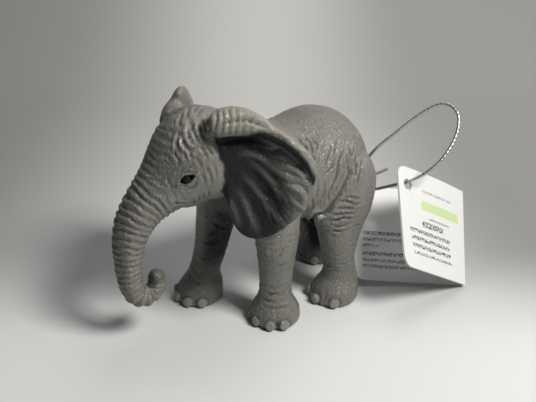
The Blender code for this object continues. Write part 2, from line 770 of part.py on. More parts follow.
def make_legs(body, head_clearance):
    """Four legs in a walking stance, each plugged into a socket of the body."""
    front = ((FRONT_SHIN_SHARES, FOOT_WIDTH), (SHOULDER_SHARES, SHOULDER_WIDTH))
    hind = ((HIND_SHIN_SHARES, FOOT_WIDTH), (HAUNCH_SHARES, HAUNCH_WIDTH))
    for side, word in ((-1, "left"), (1, "right")):
        foot_x = -side * FRONT_STRIDE / 2
        joint_x = SHOULDER_SET_BACK - side * SHOULDER_STRIDE / 2
        name = f"front_{word}_leg"
        leg = make_leg(name, side, front, FRONT_LEG_HEIGHT, foot_x, joint_x, FRONT_NAILS_DEG)
        combine(body, grown(leg, f"{name}_socket"), "DIFFERENCE")
        combine(leg, head_clearance, "DIFFERENCE")
        foot_x = WHEELBASE + side * HIND_STRIDE / 2
        joint_x = WHEELBASE - HIP_SET_FORWARD
        name = f"hind_{word}_leg"
        leg = make_leg(name, side, hind, HIND_LEG_HEIGHT, foot_x, joint_x, HIND_NAILS_DEG)
        combine(body, grown(leg, f"{name}_socket"), "DIFFERENCE")


def build():
    """All parts of the figure, then its tag and cord."""
    body = make_body()
    head = as_part(make_head(), hide)
    head_clearance = grown(head, "head_clearance")
    combine(body, head_clearance, "DIFFERENCE")
    jaw = make_jaw()
    combine(body, grown(jaw, "jaw_clearance"), "DIFFERENCE")
    make_eyes(head)
    make_ears(head, head_clearance)
    combine(head, jaw, "UNION")
    make_legs(body, head_clearance)
    combine(body, grown(make_tail(), "tail_socket"), "DIFFERENCE")
    make_tag()
    make_cord()


for old in list(bpy.data.objects):
    bpy.data.objects.remove(old)
figure = collection("toy_elephant_calf")
cutters = collection("cutters")
figure_origin = bpy.data.objects.new("figure_origin", None)
figure_origin.location = (-FIGURE_MIDDLE_X, -FIGURE_MIDDLE_Y, 0.0)
figure.objects.link(figure_origin)
hide = material("grey PVC", "#77756C", 0.5)
eye_gloss = material("black gloss paint", "#0B0908", 0.08)
card = material("white card", "#F2F0EC", 0.6)
silver = material("silver cord", "#A9A9A6", 0.4, 0.7)
build()
bpy.context.view_layer.update()
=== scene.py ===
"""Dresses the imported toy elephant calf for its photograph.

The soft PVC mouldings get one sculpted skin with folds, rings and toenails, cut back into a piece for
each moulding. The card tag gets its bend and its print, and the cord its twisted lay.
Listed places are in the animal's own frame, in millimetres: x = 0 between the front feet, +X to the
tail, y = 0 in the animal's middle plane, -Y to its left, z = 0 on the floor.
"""
import json
import math

import bmesh
import bpy
import numpy as np
from mathutils import Matrix, Vector
from mathutils.bvhtree import BVHTree
from mathutils.kdtree import KDTree


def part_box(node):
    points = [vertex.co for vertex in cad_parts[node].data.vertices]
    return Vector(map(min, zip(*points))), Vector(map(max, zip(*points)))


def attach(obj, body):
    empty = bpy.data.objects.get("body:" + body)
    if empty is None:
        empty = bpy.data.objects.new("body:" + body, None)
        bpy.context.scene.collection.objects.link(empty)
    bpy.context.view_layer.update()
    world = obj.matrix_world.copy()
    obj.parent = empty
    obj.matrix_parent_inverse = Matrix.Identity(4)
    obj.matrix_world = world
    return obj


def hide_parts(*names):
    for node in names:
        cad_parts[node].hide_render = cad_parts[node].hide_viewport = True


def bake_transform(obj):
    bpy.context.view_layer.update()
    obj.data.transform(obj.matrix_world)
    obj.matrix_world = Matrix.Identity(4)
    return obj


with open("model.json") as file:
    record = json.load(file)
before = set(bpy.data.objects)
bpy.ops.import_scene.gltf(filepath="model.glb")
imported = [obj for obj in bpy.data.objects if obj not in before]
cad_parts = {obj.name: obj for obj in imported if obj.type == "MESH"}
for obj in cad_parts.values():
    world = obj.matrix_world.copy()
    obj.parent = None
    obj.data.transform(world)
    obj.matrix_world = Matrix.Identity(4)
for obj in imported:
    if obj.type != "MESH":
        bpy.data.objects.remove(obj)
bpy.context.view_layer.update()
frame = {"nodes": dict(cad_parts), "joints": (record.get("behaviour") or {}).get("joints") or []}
MM = 0.001
MERGE_DISTANCE = 0.002 * MM
FAR_AWAY_MM = 99.0

# The animal's own frame in the row's frame
ANIMAL_SHIFT_MM = np.array((-4.51, -2.47, 0.0))

# Camera, fitted to the photograph
IMAGE_WIDTH_PX = 536
IMAGE_HEIGHT_PX = 402
FOCAL_LENGTH_PX = 700.0
CAMERA_PLACE_MM = np.array((-79.7, -135.3, 104.0))
CAMERA_TURN_DEG = 33.6
CAMERA_TILT_DEG = 25.0
SENSOR_WIDTH = 36.0

# Steps of a smooth curve from one of its points to the next
STEPS_PER_SPAN = 12

# The mouldings under the one skin, and how it is grown over them
HIDE_NODES = (
    "torso", "head", "left_ear", "right_ear", "front_left_leg", "front_right_leg", "hind_left_leg",
    "hind_right_leg", "tail",
)
EARS = ("left_ear", "right_ear")
LEGS = ("front_left_leg", "front_right_leg", "hind_left_leg", "hind_right_leg")
SKIN_GRID = 0.32 * MM
SEAM_SWELL = 0.2 * MM
BODY_SMOOTHING = 26
EAR_SMOOTHING = 8
MOULDING_BLEND = 0.7
GRAIN_STRENGTH = 1.3

# The trunk's middle line, from between the eyes to its curled tip: (x, z)
TRUNK_LINE_MM = (
    (-12.9, 43.3), (-15.8, 41.5), (-18.4, 39.7), (-21.2, 37.6), (-24.1, 35.1), (-26.4, 32),
    (-27.9, 28.5), (-28.5, 24.5), (-28.8, 20.3), (-28.5, 16.5), (-27.5, 13.5), (-25.2, 12.1),
    (-23, 12.9), (-22, 15), (-22, 17), (-22.2, 18.6),
)
TRUNK_LINE_STEP = 0.25
TRUNK_SIDE_X = -8.0
TRUNK_TIP_MM = (-22.2, 0.0, 18.0)

# Wrinkles: distance from one to the next and depth, in millimetres, or degrees about the ear's root
TRUNK_RING_PITCH = 1.5
TRUNK_RING_DEPTH = 0.46
FOREHEAD_PITCH = 1.35
FOREHEAD_DEPTH = 0.16
FLANK_PITCH = 1.25
FLANK_DEPTH = 0.21
FLANK_CROSS_PITCH = 1.9
FLANK_CROSS_DEPTH = 0.13
LEG_PITCH = 1.5
EAR_FAN_PITCH_DEG = 8.5
EAR_FINE_PITCH_DEG = 3.1
EAR_SCALLOP_DEG = 33.0
EAR_RIB_PITCH = 1.5
EAR_LINE_PITCH = 1.1
EAR_RIDGE_WIDTH = 0.75

# Eyes and feet
EYE_LENGTH = 3.3
EYE_HEIGHT = 1.25
EYE_TURN_DEG = -28.0
FOOT_RADIUS = 6.5
ANKLE_Z = 10.5
FRONT_KNEE_Z = 24.0
HIND_KNEE_Z = 21.0
NAIL_WIDTH = 2.9
NAIL_HEIGHT = 2.8
NAIL_Z = 1.7
FEET_MM = {
    "front_left_leg": (5.7, -10.0), "front_right_leg": (-5.7, 10.0),
    "hind_left_leg": (24.4, -10.3), "hind_right_leg": (34.7, 10.3),
}
FRONT_NAILS_DEG = (-70.0, -33.0, 6.0, 45.0, 78.0)
HIND_NAILS_DEG = (-45.0, 3.0, 55.0)

# Ears: corner of the outline's box, the turn of the ear from the body's side, and its size
EAR_REACH = 21.2
EAR_HEIGHT = 30.8
EAR_AXIS_MM = (-9.36, 9.8, 45.27)
EAR_DROP = 17.1
RIGHT_EAR_DROP = 1.2
EAR_SPLAY_DEG = {"left_ear": 31.0, "right_ear": 50.0}
# Where the right ear's outline is drawn in by its root: height share, its spread, and millimetres
RIGHT_EAR_WAIST = (0.90, 0.13, 2.0)

# The cord, with the points of its route as the part has them, and its twist
CORD_WIDTH = 0.9 * MM
CORD_LAY = 1.2 * MM
CORD_STRANDS = 3
STEPS_PER_LAY = 12
CORD_ROUTE_MM = (
    (38.95, -3.35, 27.75), (38.45, -3, 26.95), (37.6, -2.3, 26.7), (36.75, -1.1, 26.8),
    (36.65, 0.4, 27.1), (37.3, 1.75, 27.5), (38.9, 2.2, 28.2), (40.7, 1.6, 29.6),
    (41.6, 0.2, 31.6), (41.75, -1.6, 33.7), (41.7, -3.4, 35.8), (42.8, -5, 38.3),
    (46, -6.6, 41.1), (50.3, -8.2, 44.6), (54.2, -10.2, 47.6), (56.9, -12.7, 49.3),
    (57.9, -15.6, 48.9), (57.5, -18.2, 46.6), (54.7, -20, 42.2), (50.3, -20.4, 37.7),
    (46.3, -18.9, 34.1), (44.4, -16.24, 31.7), (43.35, -13.9, 30.25), (42.95, -11, 28.75),
    (42.5, -8, 27.1), (41.6, -6, 26.1), (40.7, -4.75, 25.75), (40.1, -4.15, 26.2),
    (39.9, -4.05, 27.7),
)
KNOT_PLACE_MM = (39.35, -3.75, 28.30)
KNOT_WIDTH = 2.5 * MM
KNOT_TURNS = 2.25
KNOT_STEPS = 45
KNOT_END_SHARES = Vector((0.82, -0.36, 0.44))
KNOT_END_LENGTH = 5.8 * MM

# The tag
TAG_WIDTH = 30.5 * MM
TAG_HEIGHT = 27.2 * MM
LEAF_STRIPS = 20
CARD_EDGE_DEG = 40.0
FLAT_ANGLE = 0.02
# How far a leaf bends out of its plane, in millimetres, by its shares of width and height
CARD_BEND = {
    "tag_front_leaf": lambda x, y: x * x * (1.3 * y - 1.2 * (1 - y)) - 0.35 * math.sin(math.pi * x),
    "tag_back_leaf": lambda x, y: 0.5 * math.sin(math.pi * x) * x,
}

# Tag print, in millimetres of the leaf: (left, right, low, high, ink). The grey lines are broken into
# strokes that only look like small print from afar. The band is plain.
PRINT_EDGE = 0.06
GREY_INK = "#4C4F53"
PALE_INK = "#7C8084"
BAND_INK = "#BFD3A0"
FRONT_RULES_MM = (
    (9.0, 27.0, 16.6, 19.2, BAND_INK),
    (9.5, 23.0, 21.6, 22.2, PALE_INK),
    (12.0, 22.0, 14.3, 14.9, PALE_INK),
    (9.0, 19.0, 11.9, 13.5, GREY_INK),
    (3.4, 22.5, 9.8, 10.8, GREY_INK),
    (3.8, 22.0, 7.8, 8.8, GREY_INK),
    (4.2, 22.6, 5.8, 6.8, GREY_INK),
    (4.6, 23.2, 4.0, 4.7, GREY_INK),
)
BACK_RULES_MM = (
    (8.0, 28.2, 13.0, 14.0, GREY_INK),
    (8.0, 28.2, 11.2, 12.1, PALE_INK),
    (23.5, 28.2, 9.5, 10.3, PALE_INK),
    (8.0, 28.2, 7.0, 8.0, GREY_INK),
    (8.0, 28.2, 5.2, 6.1, PALE_INK),
    (8.0, 28.2, 3.5, 4.4, PALE_INK),
)

# Folds of the hide, in millimetres, with points by the photograph's pixels: (depth, width, points)
FOLD_WIDTH_SHARE = 0.82
FOLD_REACH = 3.2
HIDE_FOLDS_PX = (
    # haunch and belly
    (0.9, 0.8, ((349.1, 152.1), (347.3, 159.3), (350, 171.8), (346.4, 182.5), (341.1, 193.2),
                  (333, 203.9), (325, 213.8), (313.4, 219.1), (306.3, 221.8))),
    (0.45, 0.6, ((345.5, 148.6), (339.3, 162.9), (337.5, 175.4), (332.1, 188.8), (327, 199))),
    (0.4, 0.55, ((348.2, 145), (351.8, 155.7), (355.4, 148.6))),
    (0.4, 0.55, ((357.1, 152.1), (355.4, 159.3), (356.5, 168), (354, 178))),
    (0.35, 0.5, ((362, 158), (361, 168), (358.5, 180), (357, 190))),
    (0.35, 0.5, ((332.1, 145), (328.6, 157.5), (325.8, 168))),
    (0.35, 0.5, ((325, 174.5), (332.1, 168.2), (336, 158))),
    (0.3, 0.5, ((339, 138), (335.5, 148), (333.8, 157))),
    (0.3, 0.45, ((323.5, 140), (322, 150), (318.8, 161), (317.5, 170))),
    (0.3, 0.5, ((316.8, 176), (319, 186.8), (317, 197), (311, 206))),
    (0.3, 0.5, ((324, 180), (325.5, 190), (322, 201), (315, 209))),
    (0.28, 0.5, ((309.5, 196), (313, 203), (311, 212))),
    # behind the ear
    (0.6, 0.6, ((292, 134.3), (301.8, 142.3), (306.3, 150.4), (309.8, 157.5), (311.5, 166))),
    (0.5, 0.55, ((300.9, 136.1), (308.9, 141.4), (312.5, 148.6), (314.3, 155.7), (314.5, 164))),
    (0.45, 0.55, ((310.7, 137), (315.2, 142.3), (317, 148.6), (317.5, 155))),
    (0.3, 0.5, ((296, 127), (305, 131), (312, 133))),
    # hind knee
    (0.4, 0.5, ((343.8, 197.7), (352.7, 197.7), (360.7, 198.6))),
    (0.45, 0.5, ((337.5, 202.1), (346.4, 201.3), (355.4, 204.8), (361, 204))),
    (0.45, 0.5, ((336.6, 208.4), (348.2, 208.8), (360.7, 208.4))),
    (0.35, 0.45, ((330, 214), (338, 214.8), (348, 213.8), (356, 214.5))),
    (0.45, 0.5, ((325.9, 220.9), (335.7, 220.9), (344.6, 218.2), (352.5, 219.5))),
    (0.4, 0.45, ((333.9, 227.1), (342.9, 226.3), (349.1, 223.6))),
    (0.3, 0.45, ((322, 229), (331, 231), (341, 231.5), (350, 229.5))),
    # near front leg
    (0.4, 0.5, ((264.9, 293.3), (274, 294.8), (285.5, 293.7))),
    (0.35, 0.45, ((262, 297.7), (268, 300.6), (275.2, 302.1))),
    (0.35, 0.45, ((262, 304.3), (269.3, 308), (284, 307.2), (291, 304.5))),
    (0.22, 0.42, ((286.2, 244), (281.6, 252.8), (278.2, 261.3))),
    (0.18, 0.42, ((270.5, 264.5), (278, 265.5), (286.5, 264.9))),
    (0.18, 0.42, ((262, 246), (264, 254), (268, 262))),
    # far front leg
    (0.45, 0.55, ((216.9, 214.1), (222.5, 218), (228.2, 221.8))),
    (0.45, 0.55, ((212.5, 221.5), (218.5, 226), (226, 229))),
    (0.45, 0.55, ((208.5, 235.2), (214, 233.5), (219.7, 230.3))),
    (0.4, 0.5, ((204.5, 243), (212, 243.5), (220, 240))),
    (0.35, 0.5, ((195.2, 280.1), (198.7, 283.5), (202.2, 285.7))),
    # temple and crown
    (0.5, 0.65, ((182.5, 131.6), (182, 136.5), (183.6, 143.5), (187.9, 149), (192.8, 152.2))),
    (0.55, 0.75, ((189, 118.6), (190.1, 126.2), (187.9, 131.6), (189, 138.1), (193.4, 144.1))),
    (0.45, 0.6, ((193.4, 122.9), (192.8, 130), (194.4, 136), (197.2, 141.4))),
    (0.45, 0.6, ((198.8, 121), (198.8, 129.4), (201.5, 135.4), (204.7, 139.7))),
    (0.5, 0.6, ((206.4, 114.3), (208.5, 122.9), (210.2, 129.4), (211.2, 134.9))),
    (0.4, 0.55, ((202, 119), (204, 126.5), (206.2, 133.5))),
    (0.45, 0.6, ((193.4, 115.4), (195, 109.4), (198.8, 106.1))),
    (0.45, 0.6, ((197.2, 117), (198.2, 112.1), (202, 108.3), (204.2, 107.2))),
    (0.4, 0.55, ((186, 117.5), (187.5, 112), (190.5, 107.5))),
    (0.4, 0.55, ((178.5, 127), (179.5, 120), (182.5, 113.5))),
    (0.4, 0.55, ((180.4, 130), (177.4, 137.5), (176, 144.6), (175.5, 152.8), (170.6, 155.5))),
    (0.35, 0.5, ((214, 121), (214, 130), (217.8, 137.6))),
    (0.4, 0.5, ((178.7, 145.7), (179.3, 152.2), (181.5, 158))),
    (0.4, 0.5, ((182, 150.6), (184.7, 154.9), (186.5, 160))),
    (0.4, 0.5, ((187.9, 151.7), (190.1, 156), (193.5, 160.5))),
    (0.35, 0.5, ((173.3, 152.2), (177.1, 158.2), (179, 164))),
    (0.3, 0.45, ((167.9, 157.1), (169, 162))),
    (0.35, 0.5, ((199.9, 147.3), (204.2, 152.2), (207, 158))),
    (0.35, 0.5, ((204.7, 146.8), (209, 150.6), (212.5, 156.5))),
    (0.35, 0.5, ((211.2, 143.5), (215, 148.4), (217, 155))),
    (0.3, 0.5, ((194, 156), (198.5, 161.5), (201.5, 168))),
    # round the eye and over the cheek
    (0.3, 0.45, ((174.5, 176.5), (180, 171), (188, 167.8), (195.5, 168.8))),
    (0.3, 0.45, ((178, 189.5), (186, 190), (193.5, 186.5), (198.5, 180.5))),
    (0.26, 0.45, ((199, 173), (203.5, 178), (205, 185))),
    (0.26, 0.45, ((206, 168), (210, 175), (211, 183))),
    (0.26, 0.45, ((212.5, 163), (215.5, 171), (216, 180))),
    (0.26, 0.45, ((166, 178), (168.5, 184), (173, 189))),
    # mouth and cheek
    (0.5, 0.45, ((171.5, 206.5), (176, 204), (183, 203.8), (189, 203.5), (192.5, 200.5))),
    (0.35, 0.42, ((193.3, 198.5), (195.1, 204))),
    (0.35, 0.42, ((198.2, 195.5), (199.4, 201.5))),
    (0.35, 0.42, ((203, 193.1), (204.2, 199.2))),
    (0.3, 0.42, ((208, 190.5), (210, 197))),
)

# The left ear's ridges, and its roll's lower edge and groove, as shares of the ear's reach and height
EAR_RIDGE_SHARES = (
    ((0.233, 0.669), (0.402, 0.625), (0.515, 0.557), (0.653, 0.487), (0.760, 0.450)),
    ((0.333, 0.593), (0.424, 0.532), (0.538, 0.437), (0.608, 0.349), (0.726, 0.286)),
    ((0.263, 0.483), (0.376, 0.378), (0.492, 0.245), (0.646, 0.107)),
    ((0.180, 0.381), (0.259, 0.292), (0.327, 0.157), (0.400, 0.050)),
    ((0.725, 0.330), (0.820, 0.258), (0.915, 0.229)),
    ((0.700, 0.420), (0.829, 0.372), (0.940, 0.300)),
    ((0.110, 0.300), (0.150, 0.210), (0.190, 0.110)),
)
EAR_ROLL_EDGE_SHARES = (
    (-0.10, 0.785), (0.08, 0.800), (0.24, 0.815), (0.39, 0.812), (0.53, 0.772), (0.68, 0.715),
    (0.83, 0.625), (0.93, 0.530), (1.00, 0.420),
)
EAR_GROOVE_SHARES = (
    (-0.05, 0.900), (0.054, 0.921), (0.141, 0.939), (0.216, 0.942), (0.313, 0.937), (0.399, 0.909),
    (0.486, 0.877), (0.700, 0.780),
)

# The inner edge of the ear's paler outer part: (height share, reach share)
EAR_OUTER_SHARES = ((0.0, 0.70), (0.3, 0.78), (0.6, 0.62), (0.8, 0.45))

# Lumps of the same plastic that round off the seams: (place, half lengths)
SEAM_FILLS_MM = (
    ((-11.0, 10.2, 51.0), (2.9, 2.9, 4.4)),
    ((-9.0, 10.2, 54.6), (1.6, 1.7, 2.6)),
    ((-8.9, -7.6, 54.0), (3.0, 2.6, 2.6)),
    ((19.0, -9.6, 26.6), (3.2, 2.6, 2.8)),
    ((19.0, 9.6, 26.6), (3.2, 2.6, 2.8)),
)
# Where the seams are drawn out smooth: (place, reach, times)
SMOOTHED_SEAMS_MM = (
    ((-10.6, 10.6, 53.0), 6.5, 60),
    ((-9.6, -9.0, 54.0), 4.5, 30),
    ((20.5, -10.0, 26.0), 7.0, 70),
    ((20.5, 10.0, 26.0), 7.0, 70),
)


def linear(hex_colour):
    """An sRGB hex colour as linear RGBA."""
    values = [int(hex_colour[i:i + 2], 16) / 255 for i in (1, 3, 5)]
    return [v / 12.92 if v <= 0.04045 else ((v + 0.055) / 1.055) ** 2.4 for v in values] + [1.0]


def to_row(point_mm):
    """A place in the animal's own frame, in millimetres, as a point in the row frame, in metres."""
    return Vector((np.array(point_mm) + ANIMAL_SHIFT_MM) * MM)


def step_up(values, low, high):
    """0 below low, 1 above high, smooth between them."""
    t = np.clip((values - low) / (high - low), 0.0, 1.0)
    return t * t * (3 - 2 * t)


def step_down(values, low, high):
    """1 below low, 0 above high, smooth between them."""
    return 1 - step_up(values, low, high)


def bell(values, middle, width):
    """1 at the middle, falling to almost 0 at two widths from it."""
    return np.exp(-((values - middle) / width) ** 2)


def curve_points(points, spacing):
    """Points at an even spacing along a smooth curve through the points."""
    points = np.array(points, dtype=float)
    padded = np.vstack([2 * points[0] - points[1], points, 2 * points[-1] - points[-2]])
    drawn = []
    for before, start, end, after in zip(padded, padded[1:], padded[2:], padded[3:]):
        for t in np.linspace(0.0, 1.0, STEPS_PER_SPAN, endpoint=False):
            square_part = (2 * before - 5 * start + 4 * end - after) * t ** 2
            cubic_part = (after - before + 3 * start - 3 * end) * t ** 3
            drawn.append(0.5 * (2 * start + (end - before) * t + square_part + cubic_part))
    drawn = np.array(drawn + [points[-1]])
    lengths = np.concatenate([[0.0], np.cumsum(np.linalg.norm(np.diff(drawn, axis=0), axis=1))])
    wanted = np.linspace(0.0, lengths[-1], max(2, round(lengths[-1] / spacing) + 1))
    return np.stack([np.interp(wanted, lengths, column) for column in drawn.T], axis=1)


def point_tree(points):
    """A search tree over the points."""
    tree = KDTree(len(points))
    for index, point in enumerate(points):
        tree.insert(point, index)
    tree.balance()
    return tree


# Meshes and objects


def cad_shape(name):
    """A node's CAD mesh, with its doubled vertices merged."""
    shape = bmesh.new()
    shape.from_mesh(frame["nodes"][name].data)
    bmesh.ops.remove_doubles(shape, verts=shape.verts, dist=MERGE_DISTANCE)
    return shape


def mesh_from(shape, name):
    """A new mesh with the shape, which is used up."""
    mesh = bpy.data.meshes.new(name)
    shape.to_mesh(mesh)
    shape.free()
    return mesh


def in_scene(name, data):
    """A new object with this data, in the scene."""
    made = bpy.data.objects.new(name, data)
    bpy.context.scene.collection.objects.link(made)
    return made


def built_mesh(drawn):
    """The mesh that an object's modifiers or curve settings build."""
    bpy.context.view_layer.update()
    return bpy.data.meshes.new_from_object(drawn.evaluated_get(bpy.context.evaluated_depsgraph_get()))


# Patterns over points in millimetres


def corner_values(corners, seed):
    """A fixed random value from -1 to 1 at each lattice corner."""
    mixed = corners[:, 0] * 374761393 + corners[:, 1] * 668265263 + corners[:, 2] * 1440662683
    mixed = (mixed + seed * 1274126177) & 0xFFFFFFFF
    mixed = ((mixed ^ (mixed >> 13)) * 1274126177) & 0xFFFFFFFF
    return ((mixed ^ (mixed >> 16)) & 0xFFFF) / 32767.5 - 1.0


def clouds(points, size, seed):
    """Smooth noise from -1 to 1, with blobs of the given size."""
    scaled = points / size
    base = np.floor(scaled)
    part = scaled - base
    part = part * part * (3 - 2 * part)
    base = base.astype(np.int64)
    total = np.zeros(len(points))
    for corner in np.ndindex(2, 2, 2):
        share = np.prod(np.where(corner, part, 1 - part), axis=1)
        total += share * corner_values(base + corner, seed)
    return total


def cracks(points, size, seed):
    """Distance to the nearest wall of a network of cells, in shares of a cell: 0 on a wall."""
    scaled = points / size
    base = np.floor(scaled).astype(np.int64)
    first = np.full(len(points), 9.0)
    second = np.full(len(points), 9.0)
    for corner in np.ndindex(3, 3, 3):
        cell = base + corner - 1
        shifts = [0.5 + 0.45 * corner_values(cell, seed + axis) for axis in range(3)]
        away = np.linalg.norm(cell + np.stack(shifts, axis=1) - scaled, axis=1)
        second = np.minimum(second, np.maximum(first, away))
        first = np.minimum(first, away)
    return second - first


def grooves(phase, width):
    """1 in a groove at each whole number of phase, 0 between them."""
    return bell(phase - np.round(phase), 0.0, width)


# Sculpting the skin


def joined_mouldings():
    """The PVC mouldings, swelled over their seams and joined into one fine mesh."""
    joined = bmesh.new()
    for name in HIDE_NODES:
        shape = cad_shape(name)
        shape.normal_update()
        for vert in shape.verts:
            vert.co += vert.normal * SEAM_SWELL
        mesh = mesh_from(shape, name)
        joined.from_mesh(mesh)
        bpy.data.meshes.remove(mesh)
    for place, halves in SEAM_FILLS_MM:
        size = Matrix.Diagonal((*(half * MM for half in halves), 1.0))
        bmesh.ops.create_icosphere(
            joined, subdivisions=4, radius=1.0, matrix=Matrix.Translation(to_row(place)) @ size
        )
    form = in_scene("hide_form", mesh_from(joined, "hide_form"))
    remesh = form.modifiers.new("one skin", "REMESH")
    remesh.mode = "VOXEL"
    remesh.voxel_size = SKIN_GRID
    skin = built_mesh(form)
    bpy.data.objects.remove(form)
    return skin


def read_rows(items, field, width, kind=float):
    """One field of a mesh's items, as rows of numbers."""
    values = np.empty(len(items) * width, dtype=kind)
    items.foreach_get(field, values)
    return values.reshape(-1, width)


def mesh_places(mesh):
    """The mesh's vertex places, in the animal's own frame in millimetres."""
    return read_rows(mesh.vertices, "co", 3) / MM - ANIMAL_SHIFT_MM


def set_places(mesh, places):
    """Puts the mesh's vertices at these places."""
    mesh.vertices.foreach_set("co", ((places + ANIMAL_SHIFT_MM) * MM).ravel())
    mesh.update()


def mesh_normals(mesh):
    """The mesh's vertex normals."""
    return read_rows(mesh.vertex_normals, "vector", 3)


def neighbour_means(values, pairs):
    """For each vertex, the mean of its neighbours' values."""
    count = len(values)
    shares = np.maximum(1, np.bincount(pairs.ravel(), minlength=count))
    columns = []
    for column in values.T:
        total = np.bincount(pairs[:, 0], column[pairs[:, 1]], count)
        total += np.bincount(pairs[:, 1], column[pairs[:, 0]], count)
        columns.append(total / shares)
    return np.stack(columns, axis=1)


def smoothed(values, pairs, times, amount=0.5):
    """Values drawn towards their neighbours' mean, by the amount at each vertex."""
    for _ in range(times):
        values = values + (neighbour_means(values, pairs) - values) * np.reshape(amount, (-1, 1))
    return values


def smoothed_near(places, pairs, centre, size, times):
    """Places drawn smooth within a ball round the centre."""
    away = np.linalg.norm(places - centre, axis=1)
    inside = away < 1.15 * size
    number = np.cumsum(inside) - 1
    kept = number[pairs[inside[pairs[:, 0]] & inside[pairs[:, 1]]]]
    amount = 0.5 * step_down(away[inside], 0.5 * size, size)
    drawn = places.copy()
    drawn[inside] = smoothed(places[inside], kept, times, amount)
    return drawn


def moulding_distances(places):
    """The distance from each place to each moulding of the hide, far ones cut short at 4 mm."""
    far = 4.0
    columns = []
    for name in HIDE_NODES:
        low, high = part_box(name)
        low = np.array(low) / MM - ANIMAL_SHIFT_MM - far
        high = np.array(high) / MM - ANIMAL_SHIFT_MM + far
        near = np.nonzero(np.all((places > low) & (places < high), axis=1))[0]
        shape = bmesh.new()
        shape.from_mesh(frame["nodes"][name].data)
        tree = BVHTree.FromBMesh(shape)
        shape.free()
        column = np.full(len(places), far)
        for index in near:
            found = tree.find_nearest(to_row(places[index]), far * MM)
            if found[0] is not None:
                column[index] = found[3] / MM
        columns.append(column)
    return np.stack(columns, axis=1)


def trunk_places(places):
    """How far along the trunk's line each place lies, how far from the line, and the line's length."""
    line = curve_points([(x, 0.0, z) for x, z in TRUNK_LINE_MM], TRUNK_LINE_STEP)
    along = np.zeros(len(places))
    away = np.full(len(places), FAR_AWAY_MM)
    tree = point_tree(line)
    for index in np.nonzero(places[:, 0] < TRUNK_SIDE_X)[0]:
        _, found, distance = tree.find(places[index])
        along[index] = found * TRUNK_LINE_STEP
        away[index] = distance
    return along, away, (len(line) - 1) * TRUNK_LINE_STEP


def by_trunk_tip(places, inner, outer):
    """1 within inner of the trunk's curled tip, 0 beyond outer."""
    return step_up(-np.linalg.norm(places - TRUNK_TIP_MM, axis=1), -outer, -inner)


def trunk_rings(places, along, length):
    """Rings round the trunk: narrow uneven grooves between round folds, fading at both ends."""
    waver = 0.34 * clouds(places, 3.4, 1) + 0.14 * clouds(places, 1.2, 2)
    phase = along / TRUNK_RING_PITCH + waver
    number = np.round(phase).astype(np.int64)
    strength = 0.70 + 0.30 * corner_values(np.stack([number, number, number], axis=1), 5)
    strength *= 0.75 + 0.25 * clouds(places, 2.6, 6)
    rings = grooves(phase, 0.19) * strength
    fine = 0.35 * grooves(phase * 2 + 0.5 + 0.5 * clouds(places, 2.0, 3), 0.2)
    fade = step_up(along, 4.0, 12.0) * step_down(along, length - 3.5, length - 1.5)
    swell = 0.14 * np.cos(2 * math.pi * phase)
    return -TRUNK_RING_DEPTH * fade * (rings + fine + swell)


def forehead_lines(places, normals, along):
    """Level wrinkles on the front of the forehead, between the brows."""
    front = step_up(-normals[:, 0], 0.25, 0.7) * step_up(places[:, 2], 40.0, 44.0)
    fade = front * step_down(places[:, 2], 54.0, 57.0) * step_down(along, 9.0, 13.0)
    phase = places[:, 2] / FOREHEAD_PITCH + 0.45 * clouds(places, 3.0, 11)
    return -FOREHEAD_DEPTH * fade * grooves(phase, 0.22) * (0.6 + 0.4 * clouds(places, 2.0, 12))


def flank_lines(places, normals, weight):
    """Steep broken wrinkles down the flanks and haunches, and crossing ones that are shorter."""
    side = step_up(np.abs(normals[:, 1]), 0.25, 0.7) * step_up(places[:, 2], 20.0, 28.0)
    behind_ear = step_up(places[:, 0], 3.0, 8.0)
    lean = places[:, 0] + 0.22 * places[:, 2]
    phase = lean / FLANK_PITCH + 0.75 * clouds(places, 4.0, 61) + 0.25 * clouds(places, 1.6, 62)
    broken = step_up(clouds(places / (1.0, 1.0, 1.8), 2.6, 63), -0.35, 0.35)
    level = places[:, 2] - 0.35 * places[:, 0]
    cross_phase = level / FLANK_CROSS_PITCH + 0.8 * clouds(places, 3.4, 64)
    cross_broken = step_up(clouds(places / (1.8, 1.0, 1.0), 2.2, 65), 0.0, 0.5)
    steep = FLANK_DEPTH * grooves(phase, 0.2) * broken
    cross = FLANK_CROSS_DEPTH * grooves(cross_phase, 0.2) * cross_broken
    return -weight * side * behind_ear * (steep + cross)


def leg_lines(places, name, weight):
    """Wrinkles round a leg: close above the foot and at the knee, and loose between them."""
    height = places[:, 2]
    knee = HIND_KNEE_Z if name.startswith("hind") else FRONT_KNEE_Z
    ankle_lines = bell(height, ANKLE_Z, 3.0)
    knee_lines = bell(height, knee, 5.0)
    phase = height / LEG_PITCH + 0.65 * clouds(places, 3.2, 21) + 0.3 * clouds(places, 1.4, 22)
    broken = step_up(clouds(places, 3.5, 23), -0.6, 0.4)
    depth = 0.09 + 0.17 * ankle_lines + 0.15 * knee_lines
    fade = step_up(height, 5.0, 8.0) * step_down(height, 31.0, 36.0)
    return -weight * fade * depth * grooves(phase, 0.2) * (0.35 + 0.65 * broken)


def toe_ways(degrees, side):
    """The level directions that a toe points in and that its nail spreads in."""
    angle = math.radians(degrees)
    forward = np.array((-math.cos(angle), side * math.sin(angle), 0.0))
    return forward, np.array((-forward[1], forward[0], 0.0))


